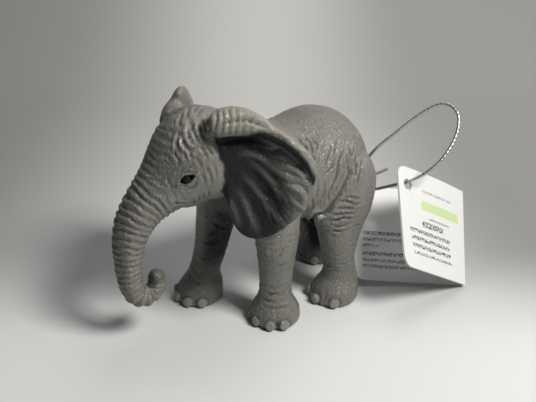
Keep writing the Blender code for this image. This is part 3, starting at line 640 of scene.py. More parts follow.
def toenails(places, name, weight):
    """The toenails of one foot: (raised shape, how much of each place is nail)."""
    foot = np.array((*FEET_MM[name], 0.0))
    side = math.copysign(1.0, foot[1])
    offset = places - foot
    over = np.clip(np.hypot(*offset[:, :2].T) - FOOT_RADIUS - 0.15, 0.0, 1.5)
    lift = -0.85 * over * step_down(places[:, 2], 4.0, 6.0)
    nail = np.zeros(len(places))
    nails = HIND_NAILS_DEG if name.startswith("hind") else FRONT_NAILS_DEG
    for degrees in (np.array(nails[:-1]) + np.array(nails[1:])) / 2:
        forward, across = toe_ways(degrees, side)
        lean = offset @ across + 0.25 * clouds(places, 2.0, 71)
        ahead = step_up(offset @ forward, 2.5, 5.0) * step_down(places[:, 2], 3.0, 6.0)
        lift -= 0.30 * ahead * bell(lean, 0.0, 0.42)
    for degrees in nails:
        forward, across = toe_ways(degrees, side)
        from_nail = places - (foot + (0.0, 0.0, NAIL_Z) + forward * FOOT_RADIUS)
        out = np.hypot(from_nail @ across / (NAIL_WIDTH / 2), from_nail[:, 2] / (NAIL_HEIGHT / 2))
        near = (from_nail @ forward > -2.5) & (out < 2.5)
        lift += near * (0.16 * step_down(out, 0.8, 1.05) - 0.30 * bell(out, 1.2, 0.2))
        nail = np.maximum(nail, near * step_down(out, 0.85, 1.0))
    return lift * weight, nail * weight


def eye_out(places, side):
    """How far each place lies from an eye's middle: 1 at the edge of its almond opening."""
    low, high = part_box("left_eye" if side < 0 else "right_eye")
    centre = (np.array(low) + np.array(high)) / 2 / MM - ANIMAL_SHIFT_MM
    turn = math.radians(EYE_TURN_DEG)
    along = np.array((math.cos(turn), 0.0, -math.sin(turn)))
    up = np.array((math.sin(turn), 0.0, math.cos(turn)))
    offset = places - centre
    x = offset @ along / (EYE_LENGTH / 2)
    y = offset @ up / (EYE_HEIGHT / 2 * np.clip(1.2 - 0.75 * x ** 2, 0.3, 1.2))
    near = (np.linalg.norm(offset, axis=1) < 5.0) & (places[:, 1] * side > 0)
    return np.where(near, np.hypot(x, y), FAR_AWAY_MM), offset @ up


def eye_lids(places, side):
    """The lids round an eye: an almond opening in a raised rim, with a crease beyond it."""
    out, above = eye_out(places, side)
    rim = 0.50 * bell(out, 1.45, 0.30)
    opening = -0.95 * step_down(out, 0.8, 1.1)
    crease = -0.24 * bell(out, 2.3, 0.3)
    bag = -0.20 * bell(out, 3.3, 0.35) * (above < 0)
    return rim + opening + crease + bag


def ear_frame(name):
    """An ear's corner, its reach direction and the direction that it faces."""
    side = -1.0 if name == "left_ear" else 1.0
    splay = math.radians(EAR_SPLAY_DEG[name])
    x, y, z = EAR_AXIS_MM
    corner = np.array((x, side * y, z - EAR_DROP - (RIGHT_EAR_DROP if side > 0 else 0.0)))
    reach = np.array((math.cos(splay), side * math.sin(splay), 0.0))
    facing = np.array((-math.sin(splay), side * math.cos(splay), 0.0))
    return corner, reach, facing


def ear_shares(places, name):
    """Each place in an ear's own plane: shares of its reach and height, and how far it stands proud."""
    corner, reach, facing = ear_frame(name)
    offset = places - corner
    return offset @ reach / EAR_REACH, offset[:, 2] / EAR_HEIGHT, offset @ facing, facing


def ear_roll_height(reach_share):
    """The height share of the lower edge of the rolled rim, along the ear."""
    return np.interp(reach_share, *zip(*EAR_ROLL_EDGE_SHARES))


def ear_ridges(a, b):
    """How much of each place in an ear's plane is one of the ridges between its folds."""
    x, y = a * EAR_REACH, b * EAR_HEIGHT
    ridge = np.zeros(len(a))
    for shares in EAR_RIDGE_SHARES:
        line = curve_points(np.array(shares) * (EAR_REACH, EAR_HEIGHT), 0.5)
        for step, (ridge_x, ridge_y) in enumerate(line):
            taper = math.sin(math.pi * (step + 0.5) / len(line)) ** 0.5
            away = (x - ridge_x) ** 2 + (y - ridge_y) ** 2
            ridge = np.maximum(ridge, taper * np.exp(-away / EAR_RIDGE_WIDTH ** 2))
    return ridge


def ear_folds(places, normals, name):
    """Moves of an ear's skin, in millimetres: folds that fan out from its root and a ribbed, rolled rim."""
    a, b, _, facing = ear_shares(places, name)
    above_roll = b - ear_roll_height(a)
    front = step_up(normals @ facing, -0.1, 0.4)
    x = (a + 0.02) * EAR_REACH
    y = (b - 0.74) * EAR_HEIGHT
    reach = np.hypot(x, y)
    angle = np.degrees(np.arctan2(y, x))
    phase = angle / EAR_FAN_PITCH_DEG + 0.75 * clouds(places, 5.0, 31) + 0.25 * clouds(places, 2.0, 32)
    uneven = 0.6 + 0.4 * clouds(places, 4.0, 35)
    fan = -0.40 * grooves(phase, 0.22) * uneven + 0.14 * np.cos(2 * math.pi * phase / 2.3)
    waver = 0.9 * clouds(places, 3.0, 33) + 0.3 * clouds(places, 1.2, 36)
    fine = -0.28 * grooves(angle / EAR_FINE_PITCH_DEG + waver, 0.25)
    fine *= 0.55 + 0.45 * clouds(places, 2.2, 37)
    ridges = 0.60 * ear_ridges(a, b) * front
    sheet = step_down(above_roll, -0.07, 0.0) * (step_up(reach, 2.0, 14.0) * (fan + fine * front) + ridges)
    sheet += 0.55 * np.cos(2 * math.pi * angle / EAR_SCALLOP_DEG + 0.8) * step_up(reach, 12.0, 20.0)
    under_roll = bell(above_roll, -0.045, 0.042) * front
    sheet -= 1.35 * under_roll * step_down(a, 0.85, 1.0) * step_up(a, 0.0, 0.08)
    ribs = -0.36 * grooves(x / EAR_RIB_PITCH + 0.3 * clouds(places, 2.5, 34), 0.24) * step_down(a, 0.35, 0.5)
    groove = bell(b, np.interp(a, *zip(*EAR_GROOVE_SHARES)), 0.017)
    seam = -0.75 * groove * step_up(a, 0.0, 0.1) * step_down(a, 0.4, 0.65)
    lines = -0.22 * grooves((y + 0.6 * x) / EAR_LINE_PITCH, 0.25) * step_up(a, 0.4, 0.55)
    moves = sheet[:, None] * facing
    if name == "right_ear":
        ribs *= 0.3
        seam *= 0.0
        height, spread, draw = RIGHT_EAR_WAIST
        drawn_in = draw * bell(b, height, spread) * step_down(a, 0.1, 0.35)
        moves += drawn_in[:, None] * ear_frame(name)[1]
    roll = step_up(above_roll, 0.0, 0.03) * front * (ribs + seam + lines)
    roll += 0.42 * step_down(np.abs(normals @ facing), 0.3, 0.8) * step_up(a, 0.1, 0.3)
    return moves + roll[:, None] * normals


def fold_lines(mesh, places):
    """The hide's folds as lines on the skin: (depth, width, places), on both sides of the animal."""
    tree = BVHTree.FromPolygons(
        [to_row(place) for place in places], [tuple(polygon.vertices) for polygon in mesh.polygons]
    )
    eye = to_row(CAMERA_PLACE_MM)
    turn = camera_turn()
    lines = []
    for depth, width, pixels in HIDE_FOLDS_PX:
        hits = []
        for x, y in pixels:
            aim = Vector((x - IMAGE_WIDTH_PX / 2, IMAGE_HEIGHT_PX / 2 - y, -FOCAL_LENGTH_PX))
            hit = tree.ray_cast(eye, turn @ aim.normalized())[0]
            if hit is not None:
                hits.append(np.array(hit) / MM - ANIMAL_SHIFT_MM)
        drawn = curve_points(hits, 0.3)
        for mirror in (1.0, -1.0):
            line = []
            for place in drawn * (1.0, mirror, 1.0):
                hit, _, _, distance = tree.find_nearest(to_row(place))
                if distance < 5.0 * MM:
                    line.append(np.array(hit) / MM - ANIMAL_SHIFT_MM)
            if len(line) > 2:
                lines.append((depth, width, np.array(line)))
    return lines


def pressed_folds(mesh, places):
    """How far each place sinks in the listed folds, or rises on their shoulders."""
    tree = point_tree(places)
    moved = np.zeros(len(places))
    for depth, width, line in fold_lines(mesh, places):
        width *= FOLD_WIDTH_SHARE
        nearest = {}
        last = max(1, len(line) - 1)
        for step, point in enumerate(line):
            taper = 0.1 + 0.9 * abs(math.sin(math.pi * step / last)) ** 0.6
            for _, index, distance in tree.find_range(point, FOLD_REACH * width):
                if distance < nearest.get(index, (FAR_AWAY_MM, 0.0))[0]:
                    nearest[index] = (distance, taper)
        indices = np.array(list(nearest), dtype=np.int64)
        away = np.array([pair[0] for pair in nearest.values()]) / width
        taper = np.array([pair[1] for pair in nearest.values()])
        moved[indices] += depth * taper * (-0.85 * bell(away, 0.0, 1.0) + 0.55 * bell(away, 1.6, 0.75))
    return moved


def body_texture(places):
    """The hide's own grain: soft swellings and a network of small crossing creases."""
    slanted = places @ np.array(((0.71, 0.0, -0.71), (0.0, 1.0, 0.0), (0.71, 0.0, 0.71))).T
    long_cells = cracks(slanted / (1.0, 1.0, 3.4), 1.0, 41)
    cross_cells = cracks(slanted / (2.4, 1.0, 1.0), 1.2, 45)
    network = bell(long_cells, 0.0, 0.14) + 0.5 * bell(cross_cells, 0.0, 0.14)
    patchy = 0.55 + 0.45 * clouds(places, 5.0, 49)
    return -0.10 * network * patchy + 0.16 * clouds(places, 6.5, 50) + 0.04 * clouds(places, 2.6, 51)


def sculpt(mesh):
    """Shapes the skin, paints its masks, and tells which moulding each vertex is nearest to."""
    places = mesh_places(mesh)
    pairs = read_rows(mesh.edges, "vertices", 2, np.int64)
    distances = moulding_distances(places)
    shares = bell(distances, 0.0, MOULDING_BLEND) + 1e-9
    shares /= shares.sum(axis=1)[:, None]
    share = {name: shares[:, index] for index, name in enumerate(HIDE_NODES)}
    ear_share = share["left_ear"] + share["right_ear"]
    places = smoothed(places, pairs, BODY_SMOOTHING - EAR_SMOOTHING, 0.5 * (1 - ear_share))
    places = smoothed(places, pairs, EAR_SMOOTHING)
    for centre, size, times in SMOOTHED_SEAMS_MM:
        places = smoothed_near(places, pairs, centre, size, times)
    set_places(mesh, places)
    normals = mesh_normals(mesh)

    along, away, trunk_length = trunk_places(places)
    lift = share["head"] * trunk_rings(places, along, trunk_length)
    lift += share["head"] * forehead_lines(places, normals, along)
    nail = np.zeros(len(places))
    leg_share = np.zeros(len(places))
    for name in LEGS:
        lift += leg_lines(places, name, share[name])
        raised, painted = toenails(places, name, share[name])
        lift += raised
        nail = np.maximum(nail, painted)
        leg_share += share[name]
    trunk_share = share["head"] * step_up(along, 7.0, 11.0) * (away < 12.0)
    trunk_share *= 1 - by_trunk_tip(places, 2.5, 5.0)
    cheek = share["head"] * step_down(along, 6.0, 10.0) * step_up(places[:, 0], -18.0, -14.0)
    grain = GRAIN_STRENGTH * body_texture(places)
    for part, ease in ((ear_share, 1.0), (trunk_share, 0.92), (cheek, 0.6), (leg_share, 0.5), (nail, 1.0)):
        grain *= 1 - ease * part
    lift += grain
    lift += share["head"] * (eye_lids(places, -1) + eye_lids(places, 1))
    lift += flank_lines(places, normals, share["torso"] + share["hind_left_leg"] + share["hind_right_leg"])
    lift += pressed_folds(mesh, places) * (1 - ear_share) * (1 - 0.2 * share["head"])
    moves = normals * lift[:, None]
    for name in EARS:
        moves += ear_folds(places, normals, name) * share[name][:, None]
    shaped = places + smoothed(moves, pairs, 1)
    shaped[:, 2] = np.maximum(shaped[:, 2], 0.0)
    set_places(mesh, shaped)
    paint(mesh, shaped, pairs, share, nail)
    return np.argmin(distances, axis=1)


def paint(mesh, places, pairs, share, nail):
    """Masks for the paint: a dark wash that also paints crease shade, dark paint with painted shade, pale
    rims with painted highlights, and toenails.
    """
    normals = mesh_normals(mesh)
    height = places[:, 2]
    # The wash darkens hollows and broad recesses: partly the toy's own dark wash, partly painted shade
    soft = smoothed(places, pairs, 6)
    hollow = np.einsum("ij,ij->i", soft - places, normals)
    broad = np.einsum("ij,ij->i", smoothed(soft, pairs, 24) - soft, normals)
    wash = np.clip(step_up(hollow, 0.01, 0.13) + 0.7 * step_up(broad, 0.08, 0.5), 0.0, 1.0)
    dark = np.zeros(len(places))
    rim = np.zeros(len(places))
    for name in EARS:
        a, b, _, facing = ear_shares(places, name)
        front = step_up(normals @ facing, -0.15, 0.35)
        over_edge = b - ear_roll_height(a) - 0.06 * step_up(a, 0.28, 0.5)
        below_roll = step_down(over_edge, -0.02, 0.03)
        outer = step_up(a - np.interp(b, *zip(*EAR_OUTER_SHARES)), -0.14, 0.16)
        # A painted shadow in the recess under the roll
        painted_recess_shadow = below_roll * step_up(over_edge, -0.13, -0.06)
        ridge = ear_ridges(a, b)
        # Dark paint on the ear's sheet, less on its outer part, and a little lighter on the ridges as a
        # painted highlight
        sheet = below_roll * (1 - 0.74 * outer) * (1 - 0.25 * ridge)
        dark += step_up(share[name], 0.2, 0.6) * front * np.maximum(sheet, painted_recess_shadow)
        # Paler along the ears' edges, with painted highlights on the ridges of the outer part
        edge = step_down(np.abs(normals @ facing), 0.3, 0.8)
        ridge_highlight = step_up(ridge, 0.3, 0.9) * outer
        pale = 0.55 * edge * step_up(b, 0.1, 0.4) * step_up(a, 0.12, 0.3) + 0.35 * ridge_highlight * front
        # A painted highlight on the near ear's roll, paler still above its groove
        if name == "left_ear":
            roll_top_highlight = step_up(b - np.interp(a, *zip(*EAR_GROOVE_SHARES)), 0.0, 0.025)
            pale = np.maximum(pale, (0.20 + 0.22 * roll_top_highlight) * step_up(over_edge, 0.0, 0.03))
        rim += share[name] * pale
    # Painted shade on the undersides, away from the head and ears
    underside_shade = step_up(-normals[:, 2], 0.2, 0.8) * step_up(height, 8.0, 14.0) * (1 - nail)
    dark += 0.35 * underside_shade * (1 - share["head"]) * (1 - share["left_ear"] - share["right_ear"])
    # Painted shade on the legs' inner sides, darkest on the hind legs
    inner = step_up(-normals[:, 1] * np.sign(places[:, 1]), 0.2, 0.8)
    front_legs = share["front_left_leg"] + share["front_right_leg"]
    hind_legs = share["hind_left_leg"] + share["hind_right_leg"]
    dark += 0.68 * front_legs * inner * step_up(height, 5.0, 15.0)
    dark += 0.85 * hind_legs * inner * step_up(height, 1.0, 8.0)
    # The legs darker low down: partly the toy's darker paint, partly painted shade
    dark += 0.25 * (front_legs + hind_legs) * step_down(height, 18.0, 30.0) * (1 - nail)
    # Painted shade on the front of the head, which faces away from the lamp, and a little more towards the
    # trunk
    dark += 0.42 * share["head"] * step_up(-normals[:, 0] - 0.35 * normals[:, 1], 0.45, 1.0)
    dark += 0.06 * share["head"] * step_up(-places[:, 0], 12.0, 20.0)
    # Painted shade on the chest under the head
    dark += 0.75 * share["torso"] * step_down(places[:, 0], -1.0, 5.0) * step_down(height, 34.0, 41.0)
    dark += 0.40 * by_trunk_tip(places, 2.2, 4.0) * share["head"]
    # Black eye paint in each almond's corners, and a painted highlight on the lids round each eye
    for side in (-1, 1):
        out, _ = eye_out(places, side)
        dark = np.maximum(dark, share["head"] * step_down(out, 1.0, 1.3))
        rim += 0.35 * share["head"] * bell(out, 1.6, 0.25)
    # Stored masks: the wash with its painted crease shade, dark paint with painted shade, pale rims with
    # painted highlights, and toenails
    for mask, values in (("wash", wash), ("dark", dark), ("rim", rim), ("nail", nail)):
        attribute = mesh.attributes.new(mask, "FLOAT", "POINT")
        attribute.data.foreach_set("value", np.clip(values, 0.0, 1.0).astype(np.float32))


def split_skin(mesh, nearest, finish):
    """Cuts the skin into a piece for each moulding, with the whole skin's normals."""
    stored = mesh.attributes.new("skin_normal", "FLOAT_VECTOR", "POINT")
    stored.data.foreach_set("vector", mesh_normals(mesh).astype(np.float32).ravel())
    for name in HIDE_NODES:
        mesh.materials.append(bpy.data.materials.new(f"{name}_side"))
    first = np.array([polygon.vertices[0] for polygon in mesh.polygons])
    mesh.polygons.foreach_set("material_index", nearest[first].astype(np.int32))
    skin = in_scene("hide", mesh)
    bpy.ops.object.select_all(action="DESELECT")
    bpy.context.view_layer.objects.active = skin
    skin.select_set(True)
    bpy.ops.object.mode_set(mode="EDIT")
    bpy.ops.mesh.separate(type="MATERIAL")
    bpy.ops.object.mode_set(mode="OBJECT")
    for piece in list(bpy.context.selected_objects):
        kept = piece.data
        name = kept.materials[kept.polygons[0].material_index].name.removesuffix("_side")
        kept.materials.clear()
        kept.materials.append(finish)
        kept.polygons.foreach_set("material_index", np.zeros(len(kept.polygons), dtype=np.int32))
        normals = read_rows(kept.attributes["skin_normal"].data, "vector", 3, np.float32)
        kept.shade_smooth()
        kept.normals_split_custom_set_from_vertices(normals)
        kept.attributes.remove(kept.attributes["skin_normal"])
        piece.name = f"{name}_skin"
        kept.name = piece.name
        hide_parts(name)
        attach(piece, "figure")


# Materials

# The sockets of a Mix node that blends colours, by number because their names repeat
FIRST = 6
SECOND = 7
MIXED = 2


def add(tree, kind, inputs=None, **settings):
    """Adds one node, with its settings and with values or links for its inputs."""
    made = tree.nodes.new(kind)
    for name, value in settings.items():
        setattr(made, name, value)
    for socket, value in (inputs or {}).items():
        if isinstance(value, bpy.types.NodeSocket):
            tree.links.new(value, made.inputs[socket])
        else:
            made.inputs[socket].default_value = value
    return made


def blank_material(name):
    """A material with only its Principled shader and output."""
    made = bpy.data.materials.new(name)
    made.use_nodes = True
    return made, made.node_tree, made.node_tree.nodes["Principled BSDF"]


def soft_pvc():
    """Moulded soft PVC, painted grey with a dark wash and painted shade: satin, with glints on its small
    folds.
    """
    made, tree, shader = blank_material("soft_pvc_grey")
    place = add(tree, "ShaderNodeTexCoord").outputs["Object"]
    # Two close greys in 7 mm patches keep the body from looking like one flat coat
    patches = add(tree, "ShaderNodeTexNoise", {"Vector": place, "Scale": 1 / (7 * MM), "Detail": 3.0})
    colour = add(
        tree, "ShaderNodeMix",
        {"Factor": patches.outputs["Fac"], FIRST: linear("#686863"), SECOND: linear("#84827A")},
        data_type="RGBA",
    ).outputs[MIXED]
    # Brushed and sprayed paints by their masks, with painted light in them: pale rims with painted
    # highlights, dark paint with painted shade, nails, and the wash, which also paints the shade in the
    # creases
    for mask, share, paint_colour in (
        ("rim", 0.75, "#AEA794"),
        ("dark", 0.95, "#0E1419"),
        ("nail", 0.6, "#8A8A84"),
        ("wash", 0.72, "#24262A"),
    ):
        read = add(tree, "ShaderNodeAttribute", attribute_name=mask)
        factor = add(tree, "ShaderNodeMath", {0: read.outputs["Fac"], 1: share}, operation="MULTIPLY")
        colour = add(
            tree, "ShaderNodeMix", {"Factor": factor.outputs[0], FIRST: colour, SECOND: linear(paint_colour)},
            data_type="RGBA",
        ).outputs[MIXED]
    tree.links.new(colour, shader.inputs["Base Color"])
    # The dark paint and the painted shade are matt beside the satin body
    darkened = add(tree, "ShaderNodeAttribute", attribute_name="dark").outputs["Fac"]
    gloss = add(tree, "ShaderNodeMapRange", {"Value": darkened, "To Min": 0.9, "To Max": 0.12})
    tree.links.new(gloss.outputs["Result"], shader.inputs["Specular IOR Level"])
    # Roughness that changes over 2 mm breaks up the highlights
    shine = add(tree, "ShaderNodeTexNoise", {"Vector": place, "Scale": 1 / (2 * MM), "Detail": 2.0})
    rough = add(
        tree, "ShaderNodeMapRange", {"Value": shine.outputs["Fac"], "To Min": 0.24, "To Max": 0.40}
    )
    tree.links.new(rough.outputs["Result"], shader.inputs["Roughness"])
    shader.inputs["IOR"].default_value = 1.53
    # Three sets of fine creases that cross: (lean in radians, width in millimetres)
    height = 0.0
    for turn, width in ((0.22, 0.55), (-0.9, 0.75), (1.2, 1.1)):
        stretched = add(
            tree, "ShaderNodeMapping",
            {"Vector": place, "Rotation": (0.0, turn, 0.0), "Scale": (1.0, 1.0, 0.24)},
        )
        waves = add(
            tree, "ShaderNodeTexNoise",
            {
                "Vector": stretched.outputs["Vector"], "Scale": 1 / (width * MM), "Detail": 2.0,
                "Distortion": 0.4,
            },
        )
        centred = add(tree, "ShaderNodeMath", {0: waves.outputs["Fac"], 1: 0.5}, operation="SUBTRACT")
        spread = add(tree, "ShaderNodeMath", {0: centred.outputs[0]}, operation="ABSOLUTE")
        crease = add(tree, "ShaderNodeMapRange", {"Value": spread.outputs[0], "From Max": 0.07})
        height = add(
            tree, "ShaderNodeMath", {0: height, 1: crease.outputs["Result"]}, operation="ADD"
        ).outputs[0]
    bump = add(tree, "ShaderNodeBump", {"Height": height, "Strength": 0.8, "Distance": 0.08 * MM})
    tree.links.new(bump.outputs["Normal"], shader.inputs["Normal"])
    return made


def gloss_paint():
    """Black gloss paint on the eyes: smooth, with one small soft highlight."""
    made, _, shader = blank_material("black_gloss_paint")
    shader.inputs["Base Color"].default_value = linear("#070606")
    shader.inputs["Roughness"].default_value = 0.28
    shader.inputs["IOR"].default_value = 1.5
    shader.inputs["Specular IOR Level"].default_value = 0.25
    return made


def coated_card(name, rules):
    """White coated card with a soft sheen. Its print is a plain band and broken grey strokes."""
    made, tree, shader = blank_material(name)
    place = add(tree, "ShaderNodeUVMap", uv_map="print").outputs["UV"]
    parts = add(tree, "ShaderNodeSeparateXYZ", {"Vector": place})
    # The print map is in millimetres, so 1 / 0.8 makes fibres of 0.8 mm
    fibre = add(tree, "ShaderNodeTexNoise", {"Vector": place, "Scale": 1 / 0.8, "Detail": 3.0}).outputs["Fac"]
    colour = add(
        tree, "ShaderNodeMix", {"Factor": fibre, FIRST: linear("#D4D5D5"), SECOND: linear("#DEDFDF")},
        data_type="RGBA",
    ).outputs[MIXED]
    tall_place = add(tree, "ShaderNodeMapping", {"Vector": place, "Scale": (1.0, 0.55, 1.0)})
    strokes = add(
        tree, "ShaderNodeTexNoise", {"Vector": tall_place.outputs["Vector"], "Scale": 1 / 0.38, "Detail": 1.0}
    )
    stroke_share = add(
        tree, "ShaderNodeMapRange", {"Value": strokes.outputs["Fac"], "From Min": 0.42, "From Max": 0.54}
    ).outputs["Result"]
    for left, right, low, high, ink in rules:
        ink_share = 1.0 if ink == BAND_INK else stroke_share
        for axis, edge, inward in ((0, left, 1), (0, right, -1), (1, low, 1), (1, high, -1)):
            fade = inward * PRINT_EDGE
            inside = add(
                tree, "ShaderNodeMapRange",
                {"Value": parts.outputs[axis], "From Min": edge - fade, "From Max": edge + fade},
            )
            ink_share = add(
                tree, "ShaderNodeMath", {0: ink_share, 1: inside.outputs["Result"]}, operation="MULTIPLY"
            ).outputs[0]
        colour = add(
            tree, "ShaderNodeMix", {"Factor": ink_share, FIRST: colour, SECOND: linear(ink)}, data_type="RGBA"
        ).outputs[MIXED]
    tree.links.new(colour, shader.inputs["Base Color"])
    shader.inputs["Roughness"].default_value = 0.42
    bump = add(tree, "ShaderNodeBump", {"Height": fibre, "Strength": 0.2, "Distance": 0.02 * MM})
    tree.links.new(bump.outputs["Normal"], shader.inputs["Normal"])
    return made


def silver_thread():
    """Elastic cord wound with silver foil: bright metal, broken by the foil's edges."""
    made, tree, shader = blank_material("silver_foil_thread")
    place = add(tree, "ShaderNodeTexCoord").outputs["Object"]
    flecks = add(tree, "ShaderNodeTexNoise", {"Vector": place, "Scale": 1 / (0.6 * MM), "Detail": 2.0})
    colour = add(
        tree, "ShaderNodeMix",
        {"Factor": flecks.outputs["Fac"], FIRST: linear("#7E7E7C"), SECOND: linear("#E4E4E1")},
        data_type="RGBA",
    )
    tree.links.new(colour.outputs[MIXED], shader.inputs["Base Color"])
    shader.inputs["Metallic"].default_value = 0.85
    shader.inputs["Roughness"].default_value = 0.32
    return made


# Tag and cord


def dress_leaf(name, body, joint_axis, finish, mirrored):
    """A leaf: the card's own outline, with finely divided faces, a slight bend and a print map."""
    shape = cad_shape(name)
    bmesh.ops.dissolve_limit(shape, angle_limit=FLAT_ANGLE, verts=shape.verts, edges=shape.edges)
    crease, along, up = joint_axis
    outward = along.cross(up)
    for number in range(1, LEAF_STRIPS):
        for direction, size in ((along, TAG_WIDTH), (up, TAG_HEIGHT)):
            bmesh.ops.bisect_plane(
                shape, geom=shape.verts[:] + shape.edges[:] + shape.faces[:],
                plane_co=crease + direction * (size * number / LEAF_STRIPS), plane_no=direction,
            )
    print_map = shape.loops.layers.uv.new("print")
    for face in shape.faces:
        for loop in face.loops:
            offset = loop.vert.co - crease
            x = offset.dot(along) / MM
            loop[print_map].uv = (TAG_WIDTH / MM - x if mirrored else x, offset.dot(up) / MM)
    for vert in shape.verts:
        offset = vert.co - crease
        bend = CARD_BEND[name](offset.dot(along) / TAG_WIDTH, offset.dot(up) / TAG_HEIGHT)
        vert.co += outward * (bend * MM)
    mesh = mesh_from(shape, f"{name}_card")
    mesh.shade_smooth()
    mesh.set_sharp_from_angle(angle=math.radians(CARD_EDGE_DEG))
    mesh.materials.append(finish)
    piece = in_scene(f"{name}_card", mesh)
    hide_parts(name)
    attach(piece, body)


def dress_tag():
    """Both leaves of the tag. The front leaf's print reads towards the crease, so its map is mirrored."""
    fold = next(joint for joint in frame["joints"] if joint["name"] == "tag_fold")
    up = Vector(fold["axis"]).normalized()
    crease = Vector(fold["pos_m"])
    for name, body, rules, mirrored in (
        ("tag_front_leaf", "tag_front", FRONT_RULES_MM, True),
        ("tag_back_leaf", "tag_back", BACK_RULES_MM, False),
    ):
        low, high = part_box(name)
        along = (Vector(low) + Vector(high)) / 2 - crease
        along = (along - up * along.dot(up)).normalized()
        finish = coated_card(f"coated_card_{body.removeprefix('tag_')}", rules)
        dress_leaf(name, body, (crease, along, up), finish, mirrored)


def line_curve(name, points):
    """A curve along the points, capped at its ends."""
    curve = bpy.data.curves.new(name, "CURVE")
    curve.dimensions = "3D"
    curve.use_fill_caps = True
    spline = curve.splines.new("POLY")
    spline.points.add(len(points) - 1)
    for point, place in zip(spline.points, points):
        point.co = (*place, 1.0)
    return curve


def foil_mesh(curve, finish):
    """The mesh of the solid that a curve draws, in silver foil."""
    drawn = in_scene(f"{curve.name}_line", curve)
    mesh = built_mesh(drawn)
    bpy.data.objects.remove(drawn)
    mesh.name = curve.name
    mesh.materials.clear()
    mesh.materials.append(finish)
    mesh.shade_smooth()
    return mesh


def dress_cord():
    """The cord: three foil strands laid in a twist, along the part's own route, with its knot."""
    finish = silver_thread()
    route = curve_points([to_row(place) for place in CORD_ROUTE_MM], CORD_LAY / STEPS_PER_LAY)
    profile = bpy.data.curves.new("cord_strands", "CURVE")
    profile.dimensions = "2D"
    outline = profile.splines.new("POLY")
    sides = 5 * CORD_STRANDS
    outline.points.add(sides - 1)
    for side, point in enumerate(outline.points):
        angle = 2 * math.pi * side / sides
        radius = CORD_WIDTH / 2 * (0.92 + 0.08 * math.cos(CORD_STRANDS * angle))
        point.co = (radius * math.cos(angle), radius * math.sin(angle), 0.0, 1.0)
    outline.use_cyclic_u = True
    strands = in_scene("cord_strands", profile)
    curve = line_curve("cord", route)
    curve.bevel_mode = "OBJECT"
    curve.bevel_object = strands
    for number, point in enumerate(curve.splines[0].points):
        point.tilt = 2 * math.pi * number / STEPS_PER_LAY / CORD_STRANDS
    cord = in_scene("silver_cord", foil_mesh(curve, finish))
    bpy.data.objects.remove(strands)
    knot = dress_knot(finish)
    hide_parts("tag_cord")
    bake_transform(cord)


def dress_knot(finish):
    """The knot: two turns of the cord drawn tight round its two ends, and one short end."""
    centre = to_row(KNOT_PLACE_MM)
    direction = KNOT_END_SHARES.normalized()
    turn = direction.to_track_quat("Z", "Y").to_matrix()
    rows = []
    for step in range(KNOT_STEPS + 1):
        share = step / KNOT_STEPS
        angle = 2 * math.pi * KNOT_TURNS * share
        radius = 0.62 * CORD_WIDTH * (1 + 0.35 * math.sin(math.pi * share))
        rise = (share - 0.5) * 1.5 * CORD_WIDTH
        rows.append(centre + turn @ Vector((radius * math.cos(angle), radius * math.sin(angle), rise)))
    start = rows[-1]
    end = centre + direction * (KNOT_WIDTH / 2 + KNOT_END_LENGTH)
    for share in (0.35, 0.55, 0.75, 0.9, 1.0):
        rows.append(start.lerp(end, share))
    curve = line_curve("cord_knot", curve_points(rows, CORD_WIDTH / 4))
    curve.bevel_depth = CORD_WIDTH / 2 * 0.94
    curve.bevel_resolution = 2
    knot = in_scene("cord_knot", foil_mesh(curve, finish))
    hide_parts("tag_cord")
    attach(knot, "figure")
    return knot


# Camera, lights and stage


def camera_turn():
    """The camera's rotation: it looks along its own -Z, with +Y up."""
    turn, tilt = math.radians(CAMERA_TURN_DEG), math.radians(CAMERA_TILT_DEG)
    ahead = Vector((math.sin(turn) * math.cos(tilt), math.cos(turn) * math.cos(tilt), -math.sin(tilt)))
    right = Vector((math.cos(turn), -math.sin(turn), 0.0))
    up = right.cross(ahead)
    return Matrix((right, up, -ahead)).transposed()


def set_camera():
    """A camera at the photograph's place, with its angle of view."""
    lens = bpy.data.cameras.new("camera")
    lens.sensor_width = SENSOR_WIDTH
    lens.lens = SENSOR_WIDTH * FOCAL_LENGTH_PX / IMAGE_WIDTH_PX
    lens.clip_start = 10 * MM
    camera = in_scene("camera", lens)
    camera.matrix_world = Matrix.Translation(to_row(CAMERA_PLACE_MM)) @ camera_turn().to_4x4()
    bpy.context.scene.camera = camera


def set_lights():
    """A soft lamp high on the animal's left, a weak one over its back, and a pale world."""
    for name, place, aim, width, watts, colour in (
        ("key", (97, -275, 350), (5, 0, 20), 130, 2.15, "#FFFCF6"),
        ("top_fill", (160, 60, 400), (5, 0, 20), 200, 0.45, "#F4F3F3"),
    ):
        lamp = bpy.data.lights.new(name, "AREA")
        lamp.size = width * MM
        lamp.energy = watts
        lamp.color = linear(colour)[:3]
        light = in_scene(name, lamp)
        light.visible_camera = False
        light.location = to_row(place)
        light.rotation_euler = (to_row(aim) - to_row(place)).to_track_quat("-Z", "Y").to_euler()
    world = bpy.data.worlds.new("studio")
    bpy.context.scene.world = world
    world.use_nodes = True
    sky = world.node_tree.nodes["Background"]
    sky.inputs["Color"].default_value = linear("#D9DADD")
    sky.inputs["Strength"].default_value = 0.06


